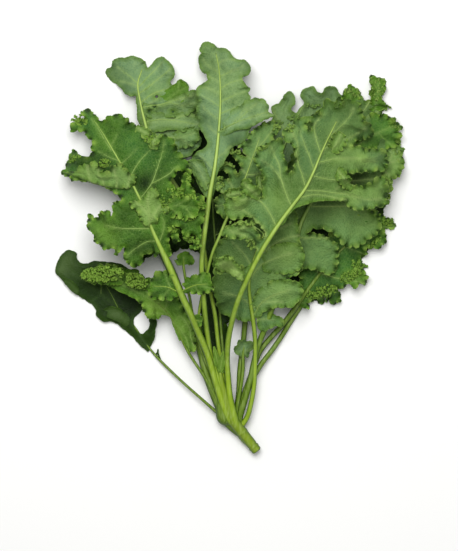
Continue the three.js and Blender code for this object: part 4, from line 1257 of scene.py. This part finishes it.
        grain=0.9, fresh=0.15, camber=-1, veinStep=9, curlTone=0.4,
        stem=[(240, 414), (245, 398), (250, 380), (254, 362), (258, 346), (264, 330), (272, 308),
              (280, 285), (288, 262), (296, 240), (300, 225), (307, 210), (318, 190), (330, 168),
              (342, 145), (352, 122), (358, 106)],
        left=[(284, 262), (276, 240), (276, 212), (282, 186), (290, 160), (300, 134), (315, 113),
              (330, 104), (341, 97), (345, 91), (350, 84), (355, 88)],
        right=[(292, 258), (300, 266), (310, 269), (318, 271), (326, 275), (333, 273), (337, 266),
               (338, 258), (338, 248), (333, 240), (325, 236), (315, 233), (307, 234), (312, 229, 2),
               (325, 231, 3), (337, 237, 4), (342, 245, 4), (350, 248, 3), (360, 245, 3), (367, 240, 3),
               (374, 237, 3), (379, 230, 3), (381, 222, 3), (378, 215, 2), (370, 212, 1), (378, 207, 1),
               (384, 206, 1), (388, 200, 1), (389, 194, 1), (392, 188, 1), (391, 181, 1), (396, 177, 2),
               (400, 176, 2), (402, 168, 2), (405, 163, 2), (401, 158, 2), (402, 151, 2), (404, 149, 2),
               (399, 145, 2), (398, 137, 2), (397, 130, 2), (402, 128, 2), (398, 122, 2), (394, 117, 2),
               (389, 118, 2), (382, 115, 2), (381, 110, 2), (390, 107, 2), (383, 105, 2), (380, 99, 2),
               (382, 93, 2), (386, 90, 2), (384, 86, 2), (387, 84, 2), (384, 80, 2), (376, 79, 2),
               (372, 76, 2), (369, 78, 2), (371, 84, 2), (370, 92, 2), (370, 100, 1), (363, 98, 1),
               (360, 92, 1)],
        paintedLightAndTints=[(382, 134, 15, -0.6), (362, 104, 10, -0.45), (308, 240, 12, -0.2), (320, 212, 14, -0.45),
                (362, 226, 14, 0.2), (358, 180, 13, -0.8), (345, 92, 8, -0.2), (395, 160, 8, 0.15),
                (300, 250, 9, -0.3)],
        curls=[(377, 90, 6, 12, 0, 30), (386, 108, 5, 2, 0, 8), (390, 124, 8, 4, 20, 22),
               (352, 93, 8, 3, 20, 16), (398, 150, 3, 14, 0, 20), (388, 188, 3, 10, 0, 14)],
        lobes=[
            dict(stem=[(374, 112, 0), (377, 98, 1), (378, 84, 2)], turned=True, rib=False, frill=1.3,
                 coarse=0.7,
                 left=[(369, 110, 0), (371, 98, 1), (372, 88, 2), (370, 79, 2), (375, 77, 2)],
                 right=[(380, 111, 0), (389, 106, 1), (384, 102, 1), (381, 97, 1), (385, 92, 2),
                        (386, 85, 2), (383, 80, 2)]),
            dict(stem=[(354, 148, 0), (368, 138, 2), (384, 130, 3), (396, 126, 2)], turned=True,
                 ribRadius=0.5, frill=1.3,
                 left=[(352, 138, 0), (360, 122, 2), (370, 113, 3), (380, 114, 3), (390, 119, 3)],
                 right=[(362, 152, 0), (376, 150, 2), (390, 148, 3), (399, 144, 3), (400, 134, 3)]),
            dict(stem=[(345, 112, 0), (350, 100, 1), (352, 90, 1)], turned=True, rib=False, frill=1.3,
                 coarse=0.7, fresh=0.2,
                 left=[(338, 108, 0), (341, 98, 1), (346, 91, 1), (349, 85, 1)],
                 right=[(356, 110, 0), (361, 104, 1), (359, 95, 1), (355, 88, 1)]),
            dict(stem=[(380, 168, 1), (390, 163, 3), (399, 160, 3)], rib=False, frill=1.3, fresh=0.5,
                 coarse=0.8,
                 left=[(380, 158, 1), (388, 150, 3), (397, 147, 3), (401, 152, 3)],
                 right=[(382, 177, 1), (390, 180, 3), (398, 175, 3), (403, 165, 3)]),
        ],
    ),
    # pale leaf at the top left, with holes eaten in it
    dict(
        name="leaf_back_left", face="under", back="pale", layer=0.42, radii=(3.2, 2.2, 0.6), bare=268,
        frill=0.4, billow=1.2, camber=-1.5, veinStep=9, rim=-0.3, fold=3.6,
        stem=[(225, 396), (222, 370), (218, 342), (215, 315), (210, 288), (206, 262), (201, 236),
              (186, 203), (166, 170), (151, 142), (145, 122), (140, 100), (138, 84), (142, 70)],
        left=[(146, 146), (141, 130), (138, 116), (136, 104), (136, 96), (131, 96), (126, 94), (119, 88),
              (113, 83), (108, 77), (107, 70), (112, 67), (112, 61), (117, 57), (125, 58), (133, 57)],
        right=[(168, 164), (182, 158), (192, 155), (199, 148), (200, 140), (199, 133), (194, 128),
               (200, 122), (200, 114), (196, 106), (199, 98), (196, 92), (188, 94), (188, 87), (180, 80),
               (175, 85), (171, 82), (174, 76), (173, 69), (169, 61), (163, 56), (157, 59), (152, 65),
               (148, 68), (146, 61), (140, 58)],
        gaps=[[(155, 97, 0, -1), (156.8, 95.4, 0, -1), (158.6, 97, 0, -1), (156.8, 98.6, 0, -1)]],
        veins=[[(138, 88), (146, 80), (158, 68), (163, 62)], [(139, 94), (150, 86), (162, 76), (170, 70)],
               [(138, 84), (129, 76), (118, 68)], [(138, 86), (130, 84), (120, 82)], [(140, 104),
               (150, 96), (164, 90), (176, 86)], [(142, 110), (150, 104), (157, 100)], [(152, 140),
               (165, 138), (180, 138), (192, 140)]],
        # painted light and shade; the three small dark spots are painted shade seen through the eaten holes
        paintedLightAndTints=[(114, 72, 13, -0.5), (128, 88, 10, -0.5), (150, 88, 13, 0.2), (160, 66, 6, -0.1),
                (196, 140, 7, -0.3), (188, 128, 7, -0.6), (154.6, 107, 3.5, -1.6),
                (149.4, 111.5, 3.5, -1.6), (173, 112, 3.5, -1.6)],
        lobes=[
            dict(stem=[(160, 106, -1), (168, 99, 1), (179, 92, 3), (186, 88, 3)], turned=True, rib=False,
                 fresh=0.2, veinStep=9,
                 left=[(160, 97, -1), (164, 92, 1), (169, 88, 3), (174, 85, 3), (180, 80, 3)],
                 right=[(162, 110, -1), (169, 109, 1), (179, 104, 2), (188, 97, 3), (189, 90, 3)]),
            dict(stem=[(143, 124, 0), (160, 122, 3), (180, 123, 4), (201, 126, 3)], rib=False, arch=2,
                 left=[(146, 112, 0), (160, 113, 2), (175, 114, 4), (188, 113, 4), (197, 116, 4),
                       (202, 120, 3)],
                 right=[(148, 131, 0), (160, 132, 2), (172, 131, 3), (184, 132, 4), (194, 132, 4),
                        (203, 130, 3)],
                 veins=[[(144, 123), (160, 120), (180, 122), (196, 125)], [(170, 121), (182, 117),
                        (194, 116)]]),
            dict(stem=[(141, 108, 0), (160, 106, 3), (178, 101, 5), (196, 96, 4)], rib=False, arch=2,
                 left=[(143, 103, 0), (153, 105, 1), (163, 104, 3), (174, 98, 4), (184, 94, 5),
                       (193, 91, 5), (199, 93, 4)],
                 right=[(144, 116, 0), (156, 119, 1), (168, 118, 3), (176, 119, 4), (185, 117, 4),
                        (193, 112, 4), (199, 106, 4), (200, 99, 4)],
                 gaps=[[(152.6, 107, 0, -1), (154.6, 105.4, 0, -1), (156.6, 107, 0, -1),
                       (154.8, 108.6, 0, -1)], [(147.8, 111.4, 0, -1), (149.4, 110, 0, -1),
                       (151, 111.6, 0, -1), (149.2, 113, 0, -1)], [(171.4, 112.2, 0, -1),
                       (173, 110.8, 0, -1), (174.6, 112.2, 0, -1), (173, 113.4, 0, -1)]],
                 veins=[[(142, 108), (160, 105), (178, 100), (193, 96)], [(170, 103), (182, 106),
                        (194, 104)]]),
            dict(stem=[(172, 140, 0), (182, 138, 3), (194, 134, 4)], rib=False, fresh=0.3, frill=0.9,
                 left=[(172, 134, 1), (180, 130, 3), (188, 128, 4), (196, 127, 4)],
                 right=[(174, 148, 1), (184, 149, 3), (193, 147, 4), (199, 141, 4), (199, 133, 4)]),
        ],
    ),
    # round smooth lobes that stand out at the top
    dict(
        name="leaf_back_top", face="under", back="pale", skin="shaded", layer=0.3, radii=(3.2, 2.8, 0.7),
        bare=213, grain=1.1, frill=0.3, veinStep=9, rim=-0.4,
        stem=[(237, 409), (239, 392), (240, 370), (243, 345), (245, 322), (248, 290), (254, 250),
              (262, 212), (274, 172), (286, 142), (297, 118), (303, 106)],
        left=[(256, 192), (254, 164), (262, 140), (268, 124), (273, 116), (272, 108), (278, 104),
              (281, 99), (284, 94), (289, 92), (294, 97), (295, 104), (292, 110), (296, 113), (299, 109)],
        right=[(282, 192), (300, 170), (318, 148), (336, 130), (346, 112), (343, 97), (339, 94),
               (336, 88), (330, 86), (324, 88), (322, 93), (317, 92), (313, 87), (307, 88), (301, 91),
               (300, 97), (304, 103)],
        paintedLightAndTints=[(330, 92, 12, -0.35), (312, 106, 12, -0.3), (286, 100, 8, -0.2)],
        curls=[(276, 124, 8, 3, 0, 24), (292, 118, 8, 2.4, 0, 16), (312, 106, 8, 2.4, 0, 12)],
    ),
    # dark leaf low on the right, with a crisp curly margin
    dict(
        name="leaf_low_right", face="upper", skin="shaded", layer=0.21, radii=(3.4, 2.6, 0.7), bare=120,
        frill=1.2, veinStep=9, curlTone=0.25,
        stem=[(239, 411), (243, 398), (248, 383), (254, 366), (260, 351), (271, 337), (282, 325),
              (292, 312), (300, 301), (309, 288), (321, 272), (334, 257), (349, 243), (364, 233),
              (378, 228)],
        left=[(299, 292), (299, 274), (306, 258), (320, 242), (338, 227), (355, 215), (372, 209),
              (382, 213), (388, 218), (394, 223)],
        right=[(302, 307), (309, 309), (311, 302), (317, 299), (320, 304), (323, 303), (324, 297),
               (327, 304), (330, 299), (334, 304), (341, 301), (340, 294), (337, 288), (343, 289),
               (349, 285), (355, 288), (359, 284), (366, 283), (368, 276), (365, 270), (368, 266),
               (361, 262), (360, 256), (367, 255), (368, 250), (377, 248), (384, 243), (387, 239),
               (386, 231), (395, 226)],
        paintedLightAndTints=[(330, 290, 18, -0.45), (355, 262, 14, -0.4), (350, 276, 10, 0.8), (362, 270, 8, 0.6),
                (384, 222, 8, 0.2)],
        curls=[(322, 292, 15, 6, -15, 70), (350, 276, 12, 5, -20, 44), (358, 265, 6, 6, 0, 26),
               (374, 243, 8, 3, -40, 22), (388, 222, 6, 4, 0, 16)],
    ),
    # low leaf in shade, painted nearly black green as painted shade, seen in the gaps on the left
    dict(
        name="leaf_under_left", face="upper", front="dark", skin="shaded", layer=0.15,
        radii=(5.2, 4.2, 0.7), bare=163, grain=1.8, veinStep=9,
        stem=[(224, 416), (215, 396), (206, 372), (200, 348), (192, 324), (184, 303), (176, 282),
              (167, 262), (157, 243), (146, 222), (131, 200), (114, 182), (98, 169)],
        left=[(157, 255), (149, 255), (141, 263), (130, 260), (125, 240), (124, 214), (119, 196),
              (104, 185), (86, 178), (72, 170)],
        right=[(176, 252), (188, 238), (194, 214), (194, 190), (188, 172), (166, 158), (136, 150),
               (106, 150), (90, 157), (76, 156)],
    ),
    # low leaf in shade, painted nearly black green as painted shade, seen in the gaps in the middle
    dict(
        name="leaf_under_centre", face="under", back="dark", skin="shaded", layer=0.1,
        radii=(2.6, 1.8, 0.6), bare=52, grain=1.8, veinStep=9,
        stem=[(226, 402), (225, 378), (223, 354), (221, 330), (219, 300), (217, 270), (215, 240),
              (213, 210), (213, 180), (213, 154), (212, 130)],
        left=[(221, 354), (212, 350), (203, 337), (200.5, 318), (200.5, 298), (201, 282), (203, 256),
              (190, 249), (175, 247), (173, 236), (184, 218), (190, 194), (192, 172), (193, 152),
              (196, 134), (203, 124)],
        right=[(225, 350), (229, 338), (229, 322), (236, 306), (246, 276), (256, 248), (262, 216),
               (260, 186), (250, 162), (236, 146), (222, 134), (216, 126)],
    ),
    # low leaf in shade, painted nearly black green as painted shade, seen in the gaps on the right
    dict(
        name="leaf_under_right", face="under", back="dark", skin="shaded", layer=0.04,
        radii=(3.2, 2.5, 0.7), bare=128, grain=1.8, veinStep=9,
        stem=[(238, 413), (244, 396), (253, 378), (262, 363), (272, 350), (281, 337), (291, 321),
              (302, 304), (312, 286), (325, 262), (340, 235), (354, 206), (364, 182)],
        left=[(294, 288), (286, 266), (284, 240), (291, 215), (304, 190), (320, 167), (340, 150),
              (360, 146)],
        right=[(312, 302), (324, 294), (340, 284), (354, 270), (366, 252), (377, 232), (384, 210),
               (386, 188), (380, 164)],
    ),
    # leaf on a thin stem at the lower left, painted nearly black green as painted shade
    dict(
        name="leaf_low_left", face="upper", front="dark", skin="shaded", veinSkin="shaded", layer=0.02,
        radii=(1.8, 1.3, 0.6), bare=88, taper=0.4, grain=1.1, frill=0.2, billow=1.2, rim=0.4,
        stem=[(220, 415), (203, 400), (186, 385), (170, 370), (157, 357), (147, 345), (134, 326),
              (118, 308), (101, 294), (84, 281), (70, 269)],
        left=[(148, 352), (141, 346), (134, 339), (126, 331), (112, 322), (103, 321), (96, 315),
              (95, 309), (80, 296), (69, 288), (61, 278), (56, 273)],
        right=[(150, 349), (152, 342), (156, 334), (156.5, 326), (155, 319), (150, 319), (148, 327),
               (143, 334), (136, 330), (134, 322), (138, 313), (147, 304), (150, 296), (140, 280),
               (127, 268), (112, 262), (96, 261), (84, 264), (78, 260), (77, 253), (69, 250), (61, 256),
               (55, 268)],
        veins=[[(118, 308), (112, 296), (104, 282)], [(101, 294), (101, 284), (100, 272)], [(84, 281),
               (84, 272)], [(101, 295), (92, 300)], [(118, 309), (112, 314)]],
        paintedLightAndTints=[(66, 262, 13, 0.9), (58, 272, 7, 0.6), (132, 300, 14, -0.5), (120, 285, 14, -0.3)],
        lobes=[
            dict(stem=[(106, 311, 0), (116, 314, 2), (127, 321, 1)], rib=False, frill=0.3, fresh=1.0,
                 rim=0.8,
                 left=[(103, 310, 0), (108, 307, 2), (114, 307, 3), (121, 309, 3), (128, 315, 2),
                       (130, 321, 1)],
                 right=[(107, 316, 0), (113, 320, 1), (120, 323, 1), (127, 326, 0)],
                 veins=[]),
            dict(stem=[(65, 280, 0), (71, 285, 2), (77, 291, 1)], rib=False, frill=0.3, fresh=1.0,
                 rim=0.8,
                 left=[(63, 277, 0), (69, 279, 2), (75, 283, 2), (79, 289, 1)],
                 right=[(64, 282, 0), (69, 288, 1), (74, 293, 1), (79, 295, 0)],
                 veins=[]),
            dict(stem=[(157.5, 358, 0), (157.8, 353, 1), (158, 349, 1)], rib=False, frill=0, fresh=0.4,
                 left=[(154, 355, 0), (157, 352, 1), (157.7, 349, 1)],
                 right=[(161, 360, 0), (158.8, 353, 1), (158.3, 349, 1)],
                 veins=[]),
        ],
    ),
    # small leaf between the stems on the left
    dict(
        name="leaf_young_left", face="upper", skin="shaded", layer=0.6, radii=(1.6, 1.4, 0.5), bare=128,
        frill=0.9,
        stem=[(220, 388), (209, 369), (200, 346), (194, 322), (190, 298), (186, 280), (184, 266),
              (184, 257)],
        left=[(182, 265), (178, 265, 1), (174.5, 261, 1), (176.5, 258, 2), (180, 253.5, 1)],
        right=[(186, 265), (191, 265, 1), (196, 262, 1), (193, 258, 2), (189, 253, 1)],
    ),
    # small pale leaf between the stems on the right
    dict(
        name="leaf_small_pale", face="under", back="pale", skin="shaded", layer=0.66,
        radii=(2.2, 1.8, 0.5), bare=44, frill=0.8,
        stem=[(238, 400), (241, 384), (243, 368), (243, 354), (244, 346)],
        left=[(242, 357), (239, 356), (236, 352, 1), (235, 348, 2), (237, 345, 1), (238, 341, 2),
              (241, 339, 1)],
        right=[(245, 356), (247, 358, -1), (250, 355, 0), (250, 350, 1), (253, 347, 2), (251, 342, 2),
               (247, 340, 1)],
        paintedLightAndTints=[(249, 353, 4, -0.6)],
    ),
]

pile = Pile()
firstSeed = 100
topDown = sorted(range(len(leaves)), key=lambda k: -leaves[k]["layer"])
for index in topDown:
    piece = leafPiece(leaves[index], pile, firstSeed + index)
    print("leaf", leaves[index]["name"], "with", len(piece.data.polygons), "faces")


# rings left by old leaves: place along the stalk, height and width; then the knuckle that the
# lowest leaves grew from, as layout x and y, height and radius
stalkShape = dict(
    lift=0.6, bevel=1.2, scars=[(5.5, 0.5, 0.7), (7.2, -0.35, 0.8), (24, 0.4, 1.2)],
    knuckle=[(236, 427, 4.6, 3.6), (233, 424.5, 5.2, 4.8), (229, 421, 6.4, 5.8), (224.6, 417.4, 8.2, 7.6),
             (222.6, 410, 9.4, 7.0), (220, 400, 10.2, 5.2), (216, 390, 11.0, 3.4), (212, 381, 11.8, 1.6)],
)
# the woody foot of the bunch, duller and more olive than the stems
stalkFinish = stemFinish("kale_stalk_skin", "#7a921a", "#708c14", "#7d9636", "#36540c", 0.45)


def stalkPiece():
    centre = [(x, y, lift + radius + stalkShape["lift"], radius) for x, y, lift, radius in stalkLine]
    line, along = smoothLine(centre, 0.6, 4)
    line[:, 3] -= stalkShape["bevel"] * (1 - np.clip(along / stalkShape["bevel"], 0, 1)) ** 2
    for place, size, width in stalkShape["scars"]:
        line[:, 3] += size * np.exp(-((along - place) / width) ** 2)
    knuckle, _ = smoothLine(stalkShape["knuckle"], 0.8, 4)
    # the knuckle takes the darker copy of the stem skin, painted shade
    piece = joinPieces([tubesObject("kale_stalk", [line], stalkFinish, 8),
                        tubesObject("kale_stalk_knuckle", [knuckle], finishes["shaded"], 8)], "kale_stalk")
    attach(piece, "root")
    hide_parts("stalk")
    return piece


stalkPiece()
print("stalk done")

# small leaves folded round the growing tip: where they start, how far each one reaches in x and
# y on the layout, and how much it rises; foot, belly and narrowing shape the outline by shares
# of the width
heart = dict(
    base=(220, 373, 14.6), width=7, foot=0.3, belly=0.9, narrowing=0.3,
    cup=1.4, wave=0.5, waves=17, rib=0.15, rows=14, columns=9,
    leaves=[
        dict(name="heart_leaf_1", reach=(-6, -27), rise=12),
        dict(name="heart_leaf_2", reach=(3, -22), rise=15),
        dict(name="heart_leaf_3", reach=(-3, -19), rise=3),
        dict(name="heart_leaf_4", reach=(6, -14), rise=6),
    ],
)


def heartPiece(young):
    bx, by, bz = heart["base"]
    rows, columns = heart["rows"], heart["columns"]
    share = np.repeat(np.linspace(0, 1, rows), columns)
    across = np.tile(np.linspace(-1, 1, columns), rows)
    bulge = heart["foot"] + heart["belly"] * np.sin(np.pi * share ** 0.8) ** 1.2
    width = heart["width"] / 2 * bulge * (1 - heart["narrowing"] * share)
    length = math.hypot(*young["reach"])
    side = (-young["reach"][1] / length, young["reach"][0] / length)
    x = bx + young["reach"][0] * share + side[0] * width * across
    y = by + young["reach"][1] * share + side[1] * width * across
    wave = heart["wave"] * np.sin(share * heart["waves"])
    z = bz + young["rise"] * share + heart["cup"] * across ** 2 + wave * across ** 4
    # the rises of the waves are painted lighter and their dips darker, painted light and shade
    marks = dict(margin=(1 - np.abs(across)) * width, vein=np.exp(-(across / heart["rib"]) ** 2),
                 tone=np.zeros(len(x)), paintedShading=wave * across ** 2, shade=np.zeros(len(x)))
    corners = [row * columns + column for row in range(rows - 1) for column in range(columns - 1)]
    faces = np.array([(k, k + 1, k + columns + 1, k + columns) for k in corners])
    piece = sheetObject("kale_" + young["name"], np.column_stack([x, y, z]), faces, marks,
                        [finishes["young"], finishes["young"]])
    bpy.ops.object.shade_smooth()
    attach(piece, "root")
    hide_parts(young["name"])
    return piece


for young in heart["leaves"]:
    heartPiece(young)
triangles = sum(sum(len(face.vertices) - 2 for face in piece.data.polygons)
                for piece in bpy.data.objects if piece.name.startswith("kale_"))
print("heart leaves done,", triangles, "triangles in all")


studio = dict(
    paper="#f4f4f2", floorSize=6, aim=(0, 0, 0.02), sky=0.40,
    keyPlace=(-0.15, 0.6, 1.45), keySize=1.2, keyPower=24,
    fillPlace=(0.9, -0.5, 1.0), fillSize=1.2, fillPower=2.0,
)


def paperFinish(name, code):
    # matt uncoated card, nearly white, with no pattern of its own
    finish, _, shader = newFinish(name, 0.9)
    shader.inputs["Base Color"].default_value = hexColour(code)
    return finish


def areaLight(name, place, size, power):
    lamp = bpy.data.lights.new(name, "AREA")
    lamp.shape = "DISK"
    lamp.size = size
    lamp.energy = power
    light = bpy.data.objects.new(name, lamp)
    light.location = place
    light.rotation_euler = (Vector(studio["aim"]) - Vector(place)).to_track_quat("-Z", "Y").to_euler()
    bpy.context.scene.collection.objects.link(light)


deselectAll()
bpy.ops.mesh.primitive_plane_add(size=studio["floorSize"], location=(0, 0, 0))
floor = bpy.context.object
floor.name = "floor"
floor.data.materials.append(paperFinish("plain_paper", studio["paper"]))
areaLight("key_light", studio["keyPlace"], studio["keySize"], studio["keyPower"])
areaLight("fill_light", studio["fillPlace"], studio["fillSize"], studio["fillPower"])
world = bpy.data.worlds.new("studio")
world.use_nodes = True
world.node_tree.nodes["Background"].inputs["Color"].default_value = (1, 1, 1, 1)
world.node_tree.nodes["Background"].inputs["Strength"].default_value = studio["sky"]
bpy.context.scene.world = world
bpy.context.scene.view_settings.view_transform = "Standard"

# the camera looks straight down from far away, with a long lens; its frame is as wide and as
# tall as the layout sheet, in mm, and everything on it in metres
picture = dict(width=458, height=551, distance=5.0, lens=150, farthest=20)
cameraData = bpy.data.cameras.new("camera")
cameraData.lens = picture["lens"]
cameraData.sensor_width = picture["lens"] * (picture["height"] / mmPerMetre) / picture["distance"]
cameraData.clip_end = picture["farthest"]
camera = bpy.data.objects.new("camera", cameraData)
centreX = (picture["width"] / 2 - layout["centre"][0]) / mmPerMetre
centreY = (layout["centre"][1] - picture["height"] / 2) / mmPerMetre
camera.location = (centreX, centreY, picture["distance"])
bpy.context.scene.collection.objects.link(camera)
bpy.context.scene.camera = camera
print("studio done")
